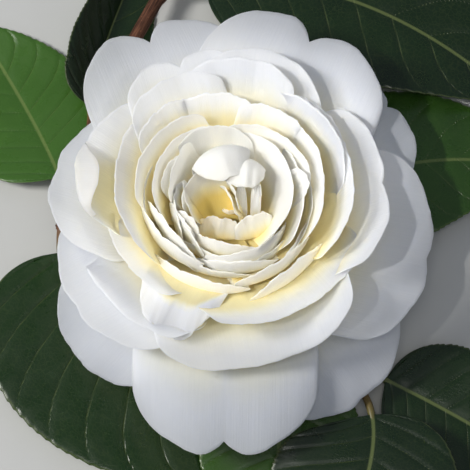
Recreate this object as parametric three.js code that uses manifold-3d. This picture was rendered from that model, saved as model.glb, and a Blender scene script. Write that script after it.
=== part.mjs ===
// A cut sprig of camellia: one large white double bloom, seated on a young shoot of a woody twig,
// with broad glossy leaves. It lies on a level surface with the bloom facing up.
//
// Millimetres, +Z up. The bloom's axis is vertical. Until the last lines everything is placed from the
// point where that axis meets the surface, and then the whole sprig is centred over the origin.
import * as THREE from "three";
import { mergeVertices } from "three/addons/utils/BufferGeometryUtils.js";
import Module from "manifold-3d";

const wasm = await Module();
wasm.setup();

const GAP = 0.3; // clearance between neighbouring pieces
const BLOOM_SEAT = 30; // height of the receptacle's top, the deepest point of the bloom
const PETAL_THICKNESS = 0.9;
const LEAF_THICKNESS = 1.1;
const PETIOLE_WIDTH = 2.4;
const PETIOLE_DEPTH = 1.9;
const TIP_WIDTH = 1; // of a leaf's blunt tip
const TWIG_RADIUS = 2.3; // at the cut end
const TWIG_TIP_RADIUS = 1.7;
const SHOOT_RADIUS = 1.6; // where it leaves the twig
const SHOOT_TIP_RADIUS = 1.3;
const SHOOT_HEIGHT = 6; // of the leafy shoot's middle line, where it carries the bloom

const degrees = THREE.MathUtils.degToRad;
const point = (x, y, z) => new THREE.Vector3(x, y, z);

// Solids and unions

function solidOf(geometry) {
  const bare = geometry.index ? geometry.clone() : geometry;
  for (const name of Object.keys(bare.attributes)) if (name !== "position") bare.deleteAttribute(name);
  const merged = mergeVertices(bare, 1e-4);
  return new wasm.Manifold(
    new wasm.Mesh({
      numProp: 3,
      vertProperties: merged.attributes.position.array,
      triVerts: new Uint32Array(merged.index.array),
    }),
  );
}

// The largest closed body of a solid, with any hollow that fusing sealed filled in.
function outerBody(solid) {
  return solid.decompose().reduce((best, body) => (body.volume() > best.volume() ? body : best));
}

function geometryOf(solid) {
  const mesh = solid.getMesh();
  const positions = new Float32Array(mesh.numVert * 3);
  for (let i = 0; i < mesh.numVert; i++)
    positions.set(mesh.vertProperties.subarray(i * mesh.numProp, i * mesh.numProp + 3), i * 3);
  const geometry = new THREE.BufferGeometry();
  geometry.setAttribute("position", new THREE.BufferAttribute(positions, 3));
  geometry.setIndex(new THREE.BufferAttribute(mesh.triVerts, 1));
  geometry.computeVertexNormals();
  return geometry;
}

// Blades: a grid of surface points, given a thickness along the surface's own normals

function gridNormal(rows, i, j) {
  const up = rows[Math.min(i + 1, rows.length - 1)][j].clone().sub(rows[Math.max(i - 1, 0)][j]);
  const last = rows[i].length - 1;
  const across = rows[i][Math.min(j + 1, last)].clone().sub(rows[i][Math.max(j - 1, 0)]);
  return across.cross(up).normalize();
}

// rows[i][j] runs from base to tip in i and from left to right in j. thicknessAt(u, v) is in mm.
function bladeGeometry(rows, thicknessAt) {
  const lines = rows.length;
  const columns = rows[0].length;
  const positions = [];
  for (const side of [1, -1])
    rows.forEach((row, i) =>
      row.forEach((p, j) => {
        const half = (side * thicknessAt(i / (lines - 1), (2 * j) / (columns - 1) - 1)) / 2;
        positions.push(...p.clone().addScaledVector(gridNormal(rows, i, j), half).toArray());
      }),
    );
  const at = (side, i, j) => side * lines * columns + i * columns + j;
  const faces = [];
  const quad = (a, b, c, d) => faces.push(a, b, c, a, c, d);
  for (let i = 0; i < lines - 1; i++)
    for (let j = 0; j < columns - 1; j++) {
      quad(at(0, i, j), at(0, i, j + 1), at(0, i + 1, j + 1), at(0, i + 1, j));
      quad(at(1, i, j), at(1, i + 1, j), at(1, i + 1, j + 1), at(1, i, j + 1));
    }
  for (let i = 0; i < lines - 1; i++) {
    quad(at(0, i, 0), at(0, i + 1, 0), at(1, i + 1, 0), at(1, i, 0));
    quad(at(0, i, columns - 1), at(1, i, columns - 1), at(1, i + 1, columns - 1), at(0, i + 1, columns - 1));
  }
  for (let j = 0; j < columns - 1; j++) {
    quad(at(0, 0, j), at(1, 0, j), at(1, 0, j + 1), at(0, 0, j + 1));
    quad(at(0, lines - 1, j), at(0, lines - 1, j + 1), at(1, lines - 1, j + 1), at(1, lines - 1, j));
  }
  const geometry = new THREE.BufferGeometry();
  geometry.setAttribute("position", new THREE.Float32BufferAttribute(positions, 3));
  geometry.setIndex(faces);
  return geometry;
}

// Petals

// A cubic curve in the plane through the bloom's axis, from the petal's seat to its rim.
function petalProfile(petal) {
  const { seatRadius, seatRise, reach, rise, lift, flare } = petal;
  const handle = 0.4 * Math.hypot(reach - seatRadius, rise - seatRise);
  const a = degrees(lift);
  const b = degrees(flare);
  return new THREE.CubicBezierCurve(
    new THREE.Vector2(seatRadius, seatRise),
    new THREE.Vector2(seatRadius + handle * Math.cos(a), seatRise + handle * Math.sin(a)),
    new THREE.Vector2(reach - handle * Math.cos(b), rise - handle * Math.sin(b)),
    new THREE.Vector2(reach, rise),
  );
}

// A point of the petal. u runs from its seat, 0, to its rim, 1.
// v runs from its left margin, -1, to its right, 1.
function petalPoint(petal, profile, u, v) {
  const shoulder = 1 - Math.sqrt(Math.max(0, 1 - v * v));
  const dip = Math.exp(-Math.abs(v) / 0.15);
  const ripple = petal.ruffle * Math.sin(7 * v + petal.at);
  const scallop = 0.01 * Math.sin(11 * v + petal.at);
  const share = u * (1 - petal.rounding * shoulder - petal.notch * dip + scallop);
  const middle = profile.getPoint(share);
  const along = profile.getTangent(share);
  const spread = petal.claw + (1 - petal.claw) * Math.sin((Math.PI / 2) * Math.min(1, u / 0.68));
  const x = (v * spread * petal.width) / 2;
  const bend = 1 / petal.cup;
  const sideways = Math.sin(x * bend) / bend;
  const inwards = (1 - Math.cos(x * bend)) / bend + ripple * u ** 3 - petal.curl * v ** 4 * u ** 2;
  const turn = degrees(petal.roll) * u;
  const across = sideways * Math.cos(turn) - inwards * Math.sin(turn);
  const above = sideways * Math.sin(turn) + inwards * Math.cos(turn);
  const radius = middle.x - above * along.y;
  const height = middle.y + above * along.x;
  const heading = degrees(petal.at);
  return point(
    radius * Math.cos(heading) + across * Math.sin(heading),
    radius * Math.sin(heading) - across * Math.cos(heading),
    BLOOM_SEAT + height,
  );
}

function petalSolid(petal) {
  const profile = petalProfile(petal);
  const rows = [];
  for (let i = 0; i <= petal.lines; i++) {
    const row = [];
    for (let j = 0; j <= petal.columns; j++) {
      const v = Math.sin((Math.PI / 2) * ((2 * j) / petal.columns - 1));
      row.push(petalPoint(petal, profile, petal.foot + ((1 - petal.foot) * i) / petal.lines, v));
    }
    rows.push(row);
  }
  return solidOf(bladeGeometry(rows, (u) => PETAL_THICKNESS * (1.2 - 0.5 * u)));
}

// What the petals of a ring share. rise is counted from the bloom's seat.
const GUARD = {
  lift: 6, flare: -6, cup: 90, rounding: 0.42, claw: 0.45,
  notch: 0.02, curl: 1, roll: -7, ruffle: 0.4, foot: 0, lines: 4, columns: 8,
};
const OUTER = {
  lift: 16, flare: 14, cup: 50, rounding: 0.4, claw: 0.45,
  notch: 0.01, curl: 0.5, roll: -7, ruffle: 0.3, foot: 0.25, lines: 3, columns: 8,
};
const MIDDLE = {
  lift: 20, flare: 42, cup: 33, rounding: 0.38, claw: 0.45,
  notch: 0.01, curl: 0.2, roll: -6, ruffle: 0.3, foot: 0.25, lines: 3, columns: 6,
};
const INNER = {
  lift: 25, flare: 60, cup: 22, rounding: 0.34, claw: 0.45,
  notch: 0.01, curl: 0, roll: -6, ruffle: 0.3, foot: 0.3, lines: 3, columns: 5,
};
const HEART = {
  lift: 50, flare: 85, cup: 12, rounding: 0.3, claw: 0.5,
  notch: 0.02, curl: 0, roll: 0, ruffle: 0.4, foot: 0.2, lines: 2, columns: 4,
};

// at is the petal's heading in degrees, counted from +X towards +Y. The list goes from the outside in.
const PETALS = [
  { ...GUARD, at: 39, reach: 61, rise: -8, width: 44, flare: -10, notch: 0.08 },
  { ...GUARD, at: 222, reach: 54, rise: -17, width: 40, lift: -4, flare: -25, roll: 5 },
  { ...GUARD, at: 308, reach: 59, rise: -19, width: 46, lift: -4, flare: -25, roll: -3 },
  { ...GUARD, at: 269, reach: 65, rise: -12, width: 50, cup: -120, flare: -22, notch: 0.08, roll: 0 },
  { ...GUARD, at: 350, reach: 56, rise: -7, width: 56, flare: -8, roll: -2 },
  { ...GUARD, at: 213, reach: 46.5, rise: -5, width: 48, flare: 0, roll: -3 },
  { ...GUARD, at: 163, reach: 49.5, rise: 0, width: 44 },
  { ...GUARD, at: 113, reach: 62.5, rise: 2, width: 50, notch: 0.12 },
  { ...GUARD, at: 66, reach: 62, rise: 4, width: 54, notch: 0.12 },

  { ...OUTER, at: 284, reach: 43.5, rise: -1, width: 52, flare: -12 },
  { ...OUTER, at: 213, reach: 41.5, rise: 2, width: 46, roll: 0 },
  { ...OUTER, at: 10, reach: 44, rise: 6, width: 46, flare: 22, notch: 0.05, roll: 0 },
  { ...OUTER, at: 106, reach: 47.5, rise: 8, width: 40, notch: 0.1, roll: 0 },
  { ...OUTER, at: 77, reach: 45.5, rise: 12, width: 38, flare: 25 },
  { ...OUTER, at: 157, reach: 41.5, rise: 10, width: 42, flare: 25, notch: 0.05, roll: 5 },
  { ...OUTER, at: 85, reach: 41, rise: 15, width: 34, flare: 32, roll: 5 },
  { ...OUTER, at: 118, reach: 38, rise: 15.5, width: 34, flare: 35, roll: 7 },

  { ...MIDDLE, at: 307, reach: 35.5, rise: 7, width: 50, flare: 22, roll: 0 },
  { ...MIDDLE, at: 208, reach: 33, rise: 10, width: 34, flare: 35, roll: 7 },
  { ...MIDDLE, at: 246, reach: 35, rise: 5, width: 25, lift: 38, flare: -60, roll: 4 },
  { ...MIDDLE, at: 18, reach: 36, rise: 13, width: 44, flare: 45, roll: 6 },
  { ...MIDDLE, at: 42, reach: 34.5, rise: 17, width: 38, flare: 55, roll: 7 },
  { ...MIDDLE, at: 170, reach: 32, rise: 14, width: 42, flare: 45 },
  { ...MIDDLE, at: 98, reach: 29.5, rise: 16, width: 32, flare: 50, roll: 7 },
  { ...MIDDLE, at: 135, reach: 29.5, rise: 17, width: 34, flare: 55, roll: 7 },
  { ...MIDDLE, at: 32, reach: 28, rise: 18, width: 40, flare: 60, cup: 27, roll: 4 },

  { ...INNER, at: 311, reach: 29, rise: 9, width: 32, flare: 35, roll: 0 },
  { ...INNER, at: 257, reach: 27, rise: 8, width: 34, flare: 35, roll: 3 },
  { ...INNER, at: 208, reach: 25.5, rise: 12, width: 28, flare: 50, roll: 5 },
  { ...INNER, at: 347, reach: 26, rise: 13, width: 26, flare: 50, roll: 5 },
  { ...INNER, at: 160, reach: 25.5, rise: 16, width: 28 },
  { ...INNER, at: 122, reach: 25, rise: 18, width: 28, flare: 65, roll: 4 },
  { ...INNER, at: 40, reach: 23.5, rise: 18, width: 34, flare: 70, roll: 4 },
  { ...INNER, at: 275, reach: 22, rise: 8.5, width: 28, flare: 45, roll: 0 },
  { ...INNER, at: 176, reach: 23, rise: 15, width: 24, roll: 4 },
  { ...INNER, at: 304, reach: 20.5, rise: 10, width: 25, flare: 50, roll: 6 },
  { ...INNER, at: 236, reach: 20, rise: 10, width: 26, flare: 50 },
  { ...INNER, at: 145, reach: 21, rise: 17, width: 26, flare: 70 },
  { ...INNER, at: 5, reach: 20.5, rise: 15, width: 22, flare: 70, roll: 4 },
  { ...INNER, at: 80, reach: 20, rise: 18, width: 30, flare: 76, roll: 0 },
  { ...INNER, at: 168, reach: 18.5, rise: 15, width: 18, flare: 70, roll: 6 },
  { ...INNER, at: 213, reach: 17, rise: 12, width: 20, flare: 60, roll: 6 },
  { ...INNER, at: 15, reach: 17.5, rise: 16, width: 32, flare: 80, cup: 17, roll: 0 },
  { ...INNER, at: 272, reach: 16.5, rise: 9, width: 24, flare: 60, roll: 0 },
  { ...INNER, at: 135, reach: 16.5, rise: 17, width: 24, flare: 80, cup: 17, roll: 0 },

  { ...HEART, at: 308, reach: 13, rise: 9, width: 14 },
  { ...HEART, at: 243, reach: 12.5, rise: 9, width: 13, flare: 70 },
  { ...HEART, at: 200, reach: 12, rise: 12, width: 12 },
  { ...HEART, at: 80, reach: 8, rise: 18, width: 18, flare: 140 },
  { ...HEART, at: 275, reach: 9.5, rise: 8, width: 12, flare: 70 },
  { ...HEART, at: 168, reach: 12, rise: 13, width: 8 },
  { ...HEART, at: 0, reach: 9, rise: 14, width: 10 },
  { ...HEART, at: 225, reach: 8.5, rise: 9, width: 9 },
  { ...HEART, at: 350, reach: 5.5, rise: 12, width: 8 },
  { ...HEART, at: 290, reach: 5, rise: 8, width: 8 },
];

// The petals' seats climb the base in a spiral, the outermost at its foot and the innermost on its crown.
PETALS.forEach((petal, k) => {
  const climb = k / (PETALS.length - 1);
  petal.seatRadius = 16 - 14 * climb;
  petal.seatRise = -8 + 9 * climb;
});

// The closed base where the petals' narrow feet are packed together, turned about the bloom's axis.
function baseSolid() {
  const outline = [
    [0, -13],
    [5, -12.6],
    [15, -11.5],
    [25, -9],
    [29, -4],
    [28, 1],
    [22, 5.5],
    [12, 7],
    [5, 4],
    [0, 3],
  ].map(([radius, rise]) => new THREE.Vector2(radius, rise));
  const turned = new THREE.LatheGeometry(outline, 16);
  turned.rotateX(Math.PI / 2);
  turned.translate(0, 0, BLOOM_SEAT);
  return solidOf(turned);
}

function bloomSolid() {
  return outerBody(PETALS.map(petalSolid).reduce((whole, petal) => whole.add(petal), baseSolid()));
}

// The bud scales under the bloom: a short stalk that opens into a cup, turned about the bloom's axis.
function calyxSolid() {
  const foot = SHOOT_HEIGHT + SHOOT_RADIUS + GAP;
  const rim = BLOOM_SEAT - 12.4;
  const outline = [
    [0, foot],
    [2.4, foot],
    [3, foot + 2],
    [7, foot + 4.5],
    [11, rim],
    [5, rim - 0.6],
    [0, rim - 1],
  ].map(([radius, height]) => new THREE.Vector2(radius, height));
  const turned = new THREE.LatheGeometry(outline, 16);
  turned.rotateX(Math.PI / 2);
  return solidOf(turned);
}

// Twigs

function limbAlong(points, startRadius, endRadius) {
  return { curve: new THREE.CatmullRomCurve3(points.map((p) => point(...p))), startRadius, endRadius };
}

// The start of something that grows from a limb at a share of its length, on the way towards a target. It is
// GAP clear of the limb. width and depth are those of the growing piece.
function budPoint(limb, share, target, width, depth) {
  const start = limb.curve.getPointAt(share);
  const way = target.clone().sub(start).normalize();
  const lean = Math.abs(way.dot(limb.curve.getTangentAt(share)));
  const square = Math.sqrt(1 - lean ** 2);
  const radius = THREE.MathUtils.lerp(limb.startRadius, limb.endRadius, share);
  const corner = (width / 2) * lean + (depth / 2) * Math.abs(way.z);
  const fromSide = (radius + GAP + corner) / square;
  const fromEnd = GAP + (radius + width / 2) * square;
  return start.addScaledVector(way, share < 1 ? fromSide : fromEnd);
}

function limbSolid(limb, steps, sides) {
  const frames = limb.curve.computeFrenetFrames(steps, false);
  const positions = [];
  for (let i = 0; i <= steps; i++) {
    const radius = THREE.MathUtils.lerp(limb.startRadius, limb.endRadius, i / steps);
    for (let k = 0; k < sides; k++) {
      const turn = (2 * Math.PI * k) / sides;
      const rim = limb.curve.getPointAt(i / steps);
      rim.addScaledVector(frames.normals[i], radius * Math.cos(turn));
      rim.addScaledVector(frames.binormals[i], radius * Math.sin(turn));
      positions.push(...rim.toArray());
    }
  }
  const faces = [];
  for (let i = 0; i < steps; i++)
    for (let k = 0; k < sides; k++) {
      const a = i * sides + k;
      const b = i * sides + ((k + 1) % sides);
      faces.push(a, b, b + sides, a, b + sides, a + sides);
    }
  for (let k = 1; k < sides - 1; k++) {
    faces.push(0, k + 1, k);
    faces.push(steps * sides, steps * sides + k, steps * sides + k + 1);
  }
  const geometry = new THREE.BufferGeometry();
  geometry.setAttribute("position", new THREE.Float32BufferAttribute(positions, 3));
  geometry.setIndex(faces);
  return solidOf(geometry);
}

// The woody twig comes in from its cut end, which rests on the surface, and runs on beside the bloom.
const TWIG_PATH = [
  [-8, 108, TWIG_RADIUS],
  [-21, 79, 7.5],
  [-32, 54, 10],
  [-38, 38, 10.5],
  [-43, 21, 10],
  [-47, 5, 9.5],
];
const twig = limbAlong(TWIG_PATH, TWIG_RADIUS, TWIG_TIP_RADIUS);

// The young shoot leaves the twig and passes under the bloom. The bloom's stalk stands on its middle.
const SHOOT_PATH = [
  [-20, 18, SHOOT_HEIGHT + 0.6],
  [0, 0, SHOOT_HEIGHT],
  [20, -22, SHOOT_HEIGHT],
  [36, -41, SHOOT_HEIGHT],
];
const shootWidth = 2 * SHOOT_RADIUS;
const shootStart = budPoint(twig, 0.7, point(...SHOOT_PATH[0]), shootWidth, shootWidth);
const shoot = limbAlong([shootStart.toArray(), ...SHOOT_PATH], SHOOT_RADIUS, SHOOT_TIP_RADIUS);

// Leaves

// Half of the blade's width at a share of its length, 1 where it is widest.
function bladeOutline(share) {
  const peak = 0.431;
  return (Math.sqrt(share) * (1 - share) ** 0.75) / peak;
}

// Half of the leaf's width at a share of its whole length, petiole and tip included.
function halfWidth(leaf, u) {
  const share = THREE.MathUtils.clamp((u - leaf.petiole) / (1 - leaf.petiole), 0, 1);
  const least = u < 0.5 ? PETIOLE_WIDTH / 2 : TIP_WIDTH / 2;
  return Math.max((leaf.width / 2) * bladeOutline(share), least);
}

// A leaf from the foot of its petiole to its tip. crown is the middle control point of its arched midrib.
function leafRows(leaf, drop) {
  const crown = point(...leaf.crown).setZ(leaf.crown[2] - drop);
  const foot = budPoint(leaf.limb, leaf.share, crown, PETIOLE_WIDTH, PETIOLE_DEPTH);
  const tip = point(...leaf.tip).setZ(leaf.tip[2] - drop);
  const midrib = new THREE.QuadraticBezierCurve3(foot, crown, tip);
  const fold = degrees(leaf.fold);
  const twist = degrees(leaf.twist);
  const lines = 9;
  const columns = 6;
  const rows = [];
  for (let i = 0; i <= lines; i++) {
    const u = i / lines;
    const half = halfWidth(leaf, u);
    const along = midrib.getTangent(u);
    const side = along.clone().cross(point(0, 0, 1)).normalize();
    const up = side.clone().cross(along);
    side.applyAxisAngle(along, twist * Math.min(1, 3 * u));
    up.applyAxisAngle(along, twist * Math.min(1, 3 * u));
    const row = [];
    for (let j = 0; j <= columns; j++) {
      const v = (2 * j) / columns - 1;
      const lift = half * (Math.abs(v) * Math.sin(fold) - leaf.droop * v * v);
      const wave = leaf.wave * Math.sin(9 * u + (v > 0 ? 0 : 2)) * v * v * Math.min(1, half / 6);
      const across = v * half * Math.cos(fold);
      row.push(midrib.getPoint(u).addScaledVector(side, across).addScaledVector(up, lift + wave));
    }
    rows.push(row);
  }
  return rows;
}

function leafSolid(leaf) {
  const thicknessAt = (u) => (u < leaf.petiole ? PETIOLE_DEPTH : LEAF_THICKNESS);
  const build = (drop) => solidOf(bladeGeometry(leafRows(leaf, drop), thicknessAt));
  if (!leaf.resting) return build(0);
  const rounds = 4;
  let drop = 0;
  for (let round = 0; round < rounds; round++) drop += build(drop).boundingBox().min[2];
  return build(drop);
}

// share is where on its limb the leaf grows, and petiole is the petiole's share of the leaf's whole length.
// A resting leaf is let down until it meets the surface.
const LEAF = { limb: shoot, petiole: 0.1, fold: 4, droop: 0, twist: 0, wave: 0.6, resting: true };
const LEAVES = {
  leaf_front_left: { ...LEAF, limb: twig, share: 1, crown: [-49, -30, 8], tip: [6, -66, 1], width: 58 },
  leaf_front_middle: {
    ...LEAF, share: 0.72, petiole: 0.2, crown: [14, -50, 4.8], tip: [12, -92, 1], width: 44,
  },
  leaf_front_right: {
    ...LEAF, share: 1, petiole: 0.16, crown: [48, -63, 15], tip: [10, -118, 1], width: 50,
  },
  leaf_right_low: { ...LEAF, share: 0.9, petiole: 0.2, crown: [57, -42, 3], tip: [94, -68, 3], width: 38 },
  leaf_right: { ...LEAF, share: 0.56, crown: [40, 38, 7], tip: [92, 26, 1], width: 48 },
  leaf_back_right: {
    ...LEAF, limb: twig, share: 0.27, crown: [34, 86, 24], tip: [84, 45, 7], width: 54, resting: false,
  },
  leaf_back_left: {
    ...LEAF, limb: twig, share: 0.72, crown: [-42, 58, 0], tip: [-24, 104, 1], width: 28, fold: 28, twist: 28,
  },
  leaf_left: { ...LEAF, limb: twig, share: 0.93, crown: [-54, 40, -2], tip: [-76, 74, 1], width: 42 },
};

const petalWhite = new THREE.MeshStandardMaterial({ color: 0xf3f2ea, roughness: 0.55, metalness: 0 });
const scaleGreen = new THREE.MeshStandardMaterial({ color: 0x6d6a3a, roughness: 0.7, metalness: 0 });
const barkBrown = new THREE.MeshStandardMaterial({ color: 0x6a3f28, roughness: 0.8, metalness: 0 });
const shootBrown = new THREE.MeshStandardMaterial({ color: 0x7a6236, roughness: 0.7, metalness: 0 });
const leafGreen = new THREE.MeshStandardMaterial({ color: 0x23451f, roughness: 0.32, metalness: 0 });

const sprig = new THREE.Group();

function addPiece(name, solid, material) {
  const mesh = new THREE.Mesh(geometryOf(solid), material);
  mesh.name = name;
  sprig.add(mesh);
}

addPiece("bloom", bloomSolid(), petalWhite);
addPiece("calyx", calyxSolid(), scaleGreen);
addPiece("twig", limbSolid(twig, 20, 10), barkBrown);
addPiece("shoot", limbSolid(shoot, 16, 8), shootBrown);
for (const [name, leaf] of Object.entries(LEAVES)) addPiece(name, leafSolid(leaf), leafGreen);

// The middle of the sprig's footprint comes over the origin.
const footprint = new THREE.Box3().setFromObject(sprig).getCenter(new THREE.Vector3());
sprig.position.set(-footprint.x, -footprint.y, 0);

export default sprig;
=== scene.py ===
"""A cut camellia sprig: one large white double bloom, glossy leaves and a woody twig, on a pale floor."""

import math

import bpy
import numpy as np
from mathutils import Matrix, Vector


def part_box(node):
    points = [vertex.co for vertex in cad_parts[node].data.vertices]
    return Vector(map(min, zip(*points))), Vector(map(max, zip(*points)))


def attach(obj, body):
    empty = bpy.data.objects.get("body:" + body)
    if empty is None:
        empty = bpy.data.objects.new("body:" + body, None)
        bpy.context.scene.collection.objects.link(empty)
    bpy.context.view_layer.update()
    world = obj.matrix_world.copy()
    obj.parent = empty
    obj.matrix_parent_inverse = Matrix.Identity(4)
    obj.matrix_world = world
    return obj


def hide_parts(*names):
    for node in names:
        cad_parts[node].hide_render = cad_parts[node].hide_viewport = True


bl_info = {
    "name": "Camellia sprig",
    "version": (1, 0, 0),
    "blender": (4, 5, 0),
    "location": "View3D > Sidebar > Camellia",
    "description": "Builds the petals, leaves, twig and stage of a cut camellia sprig",
    "category": "Object",
}

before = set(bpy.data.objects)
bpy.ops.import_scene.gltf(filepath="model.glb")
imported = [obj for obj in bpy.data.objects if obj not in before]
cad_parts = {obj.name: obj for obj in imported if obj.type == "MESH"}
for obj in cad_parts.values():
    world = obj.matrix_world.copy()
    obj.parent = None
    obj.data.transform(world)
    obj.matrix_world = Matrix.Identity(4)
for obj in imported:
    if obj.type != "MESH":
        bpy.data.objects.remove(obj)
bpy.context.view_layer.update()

# All shapes are worked out in millimetres from the point under the bloom's axis, as in the part's source.
MM = 0.001
CALYX_LOW, CALYX_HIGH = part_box("calyx")
AXIS = (CALYX_LOW + CALYX_HIGH) / 2
AXIS.z = 0
BLOOM_SEAT = 30
RECEPTACLE_RISE = -12.2
SHOOT_HEIGHT = 6
UP = np.array([0.0, 0.0, 1.0])


# Small helpers


def smooth(low, high, x):
    """0 below low, 1 above high, and smooth in between."""
    t = np.clip((x - low) / (high - low), 0, 1)
    return t * t * (3 - 2 * t)


def waves(x, seed, octaves=3):
    """A smooth, repeatable wobble of x between about -1 and 1."""
    picks = np.random.default_rng(seed)
    total = np.zeros_like(x, dtype=float)
    strength = 0.0
    for octave in range(octaves):
        rate = 1.9**octave * picks.uniform(0.85, 1.15)
        total = total + np.sin(rate * x + picks.uniform(0, 2 * math.pi)) * 0.62**octave
        strength += 0.62**octave
    return total / strength


def unit(vectors):
    """Vectors brought to length 1 along the last axis."""
    return vectors / np.maximum(np.linalg.norm(vectors, axis=-1, keepdims=True), 1e-9)


def grid_normals(points):
    """Surface normals of a grid of points, rows running from base to tip and columns from left to right."""
    up = np.gradient(points, axis=0)
    across = np.gradient(points, axis=1)
    return unit(np.cross(across, up))


def run_along(points):
    """How far each point of a grid is from its column's first row, measured along the column."""
    steps = np.linalg.norm(np.diff(points, axis=0), axis=-1)
    return np.concatenate([np.zeros((1, points.shape[1])), np.cumsum(steps, 0)])


# Meshes

# How far a blade's rounded margin stands out, as a share of its thickness.
MARGIN_BULGE = 0.45
# A blade is charted for baking as two strips side by side, its upper face on the left, with its margin
# pushed outwards a little.
STRIP_LEFT, STRIP_WIDTH, STRIP_MARGIN, MARGIN_PUSH = 0.015, 0.47, 0.02, 0.03


def new_piece(name, mesh, slot, node, *materials):
    """A piece with its materials, riding on the sprig and standing for its CAD node."""
    piece = bpy.data.objects.new(name, mesh)
    bpy.context.scene.collection.objects.link(piece)
    for polygon in mesh.polygons:
        polygon.use_smooth = polygon.material_index == 0
    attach(piece, "root")
    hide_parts(node)
    for material in materials:
        mesh.materials.append(material)


def mesh_from(name, points, faces, corner_maps=None, values=None, slots=None):
    """A mesh in metres from points in millimetres, with UV maps given per face corner."""
    mesh = bpy.data.meshes.new(name)
    placed = np.asarray(points, float) * MM + np.array(AXIS)
    mesh.from_pydata(placed.tolist(), [], [list(map(int, face)) for face in faces])
    for map_name, corners in (corner_maps or {}).items():
        layer = mesh.uv_layers.new(name=map_name)
        layer.data.foreach_set("uv", np.asarray(corners, np.float32).ravel())
    for value_name, numbers in (values or {}).items():
        attribute = mesh.attributes.new(value_name, "FLOAT", "POINT")
        attribute.data.foreach_set("value", np.asarray(numbers, np.float32).ravel())
    if slots is not None:
        mesh.polygons.foreach_set("material_index", np.asarray(slots, np.int32))
    mesh.update()
    return mesh


def blade_mesh(name, middle, thickness, space, values):
    """A closed thin blade with a rounded margin, from a grid of points on its middle surface.

    space is each grid point's place on the blade, which the materials read. The upper face is the one
    that the grid's normals look out of.
    """
    rows, columns = middle.shape[:2]
    count = rows * columns
    half = (thickness / 2)[..., None]
    normals = grid_normals(middle)
    upper = (middle + normals * half).reshape(-1, 3)
    lower = (middle - normals * half).reshape(-1, 3)

    def index(i, j):
        return i * columns + j

    loop = [(0, j) for j in range(columns - 1)]
    loop += [(i, columns - 1) for i in range(rows - 1)]
    loop += [(rows - 1, j) for j in range(columns - 1, 0, -1)]
    loop += [(i, 0) for i in range(rows - 1, 0, -1)]
    ends = len(loop)
    rim = []
    for i, j in loop:
        inner = middle[min(max(i, 1), rows - 2), min(max(j, 1), columns - 2)]
        outward = unit(middle[i, j] - inner)
        rim.append(middle[i, j] + outward * thickness[i, j] * MARGIN_BULGE)
    points = np.concatenate([upper, lower, np.array(rim)])

    i, j = np.meshgrid(np.arange(rows - 1), np.arange(columns - 1), indexing="ij")
    a, b = index(i, j).ravel(), index(i, j + 1).ravel()
    c, d = index(i + 1, j + 1).ravel(), index(i + 1, j).ravel()
    top = np.stack([a, b, c, d], 1)
    bottom = np.stack([a, d, c, b], 1) + count
    edge = []
    for k in range(ends):
        here, after = index(*loop[k]), index(*loop[(k + 1) % ends])
        rim_here, rim_after = 2 * count + k, 2 * count + (k + 1) % ends
        edge.append([here, rim_here, rim_after, after])
        edge.append([here + count, after + count, rim_after, rim_here])
    faces = np.concatenate([top, bottom, np.array(edge)])

    loop_index = [index(*place) for place in loop]

    def thrice(grid):
        """A grid's values for the upper face, the lower face and the margin."""
        flat = grid.reshape(count, -1)
        return np.concatenate([flat, flat, flat[loop_index]])

    shares = np.meshgrid(np.linspace(0, 1, rows), np.linspace(0, 1, columns), indexing="ij")
    chart = thrice(np.stack(shares, -1))
    chart[2 * count :] += (chart[2 * count :] - 0.5) * MARGIN_PUSH
    chart = STRIP_MARGIN + (1 - 2 * STRIP_MARGIN) * chart
    left = np.stack([STRIP_LEFT + STRIP_WIDTH * chart[:, 1], chart[:, 0]], 1)
    right = left + np.array([0.5, 0])
    on_upper = np.concatenate([np.ones(len(top)), np.zeros(len(bottom)), np.tile([1, 0], ends)])
    baking = np.where(on_upper[:, None, None] == 1, left[faces], right[faces])
    all_values = {key: thrice(grid) for key, grid in values.items()}
    all_values["underside"] = np.concatenate([np.zeros(count), np.ones(count), np.full(ends, 0.5)])
    corner_maps = {"BladeSpace": thrice(space)[faces], "OFBake": baking}
    return mesh_from(name, points, faces, corner_maps, all_values)


def tube_parts(line, radius, sides, swell=None, upright=False):
    """A closed tube round a level or an upright line.

    swell(along, turn) adds to the radius, in mm. The parts are the points, the faces, each point's place on
    the tube, and how many faces are on the tube's side and on one of its caps.
    """
    line = np.asarray(line, float)
    steps = len(line)
    if upright:
        side = np.tile([1.0, 0.0, 0.0], (steps, 1))
        up = np.tile([0.0, 1.0, 0.0], (steps, 1))
        along = np.linspace(0, 1, steps)
    else:
        tangent = unit(np.gradient(line, axis=0))
        side = unit(np.cross(tangent, UP))
        up = np.cross(side, tangent)
        along = run_along(line[:, None])[:, 0]
    turn = 2 * math.pi * np.arange(sides) / sides
    size = np.broadcast_to(np.asarray(radius, float).reshape(-1, 1), (steps, sides)).copy()
    if swell is not None:
        size += swell(along[:, None], turn[None, :])
    ring = side[:, None] * np.cos(turn)[None, :, None] + up[:, None] * np.sin(turn)[None, :, None]
    points = (line[:, None] + ring * size[..., None]).reshape(-1, 3)
    points = np.concatenate([points, line[:1], line[-1:]])
    first, last, base = steps * sides, steps * sides + 1, (steps - 1) * sides
    turns = [(k, (k + 1) % sides) for k in range(sides)]
    faces = []
    for low in range(0, base, sides):
        faces += [[low + k, low + sides + k, low + sides + after, low + after] for k, after in turns]
    side_count = len(faces)
    faces += [[first, k, after] for k, after in turns]
    faces += [[last, base + after, base + k] for k, after in turns]
    if upright:
        faces = [[face[0], *face[:0:-1]] for face in faces]
    space = np.stack([np.repeat(along, sides), np.tile(turn / (2 * math.pi), steps)], 1)
    space = np.concatenate([space, [[0, 0.5]], [[along[-1], 0.5]]])
    return points, faces, space, side_count, sides


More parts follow.
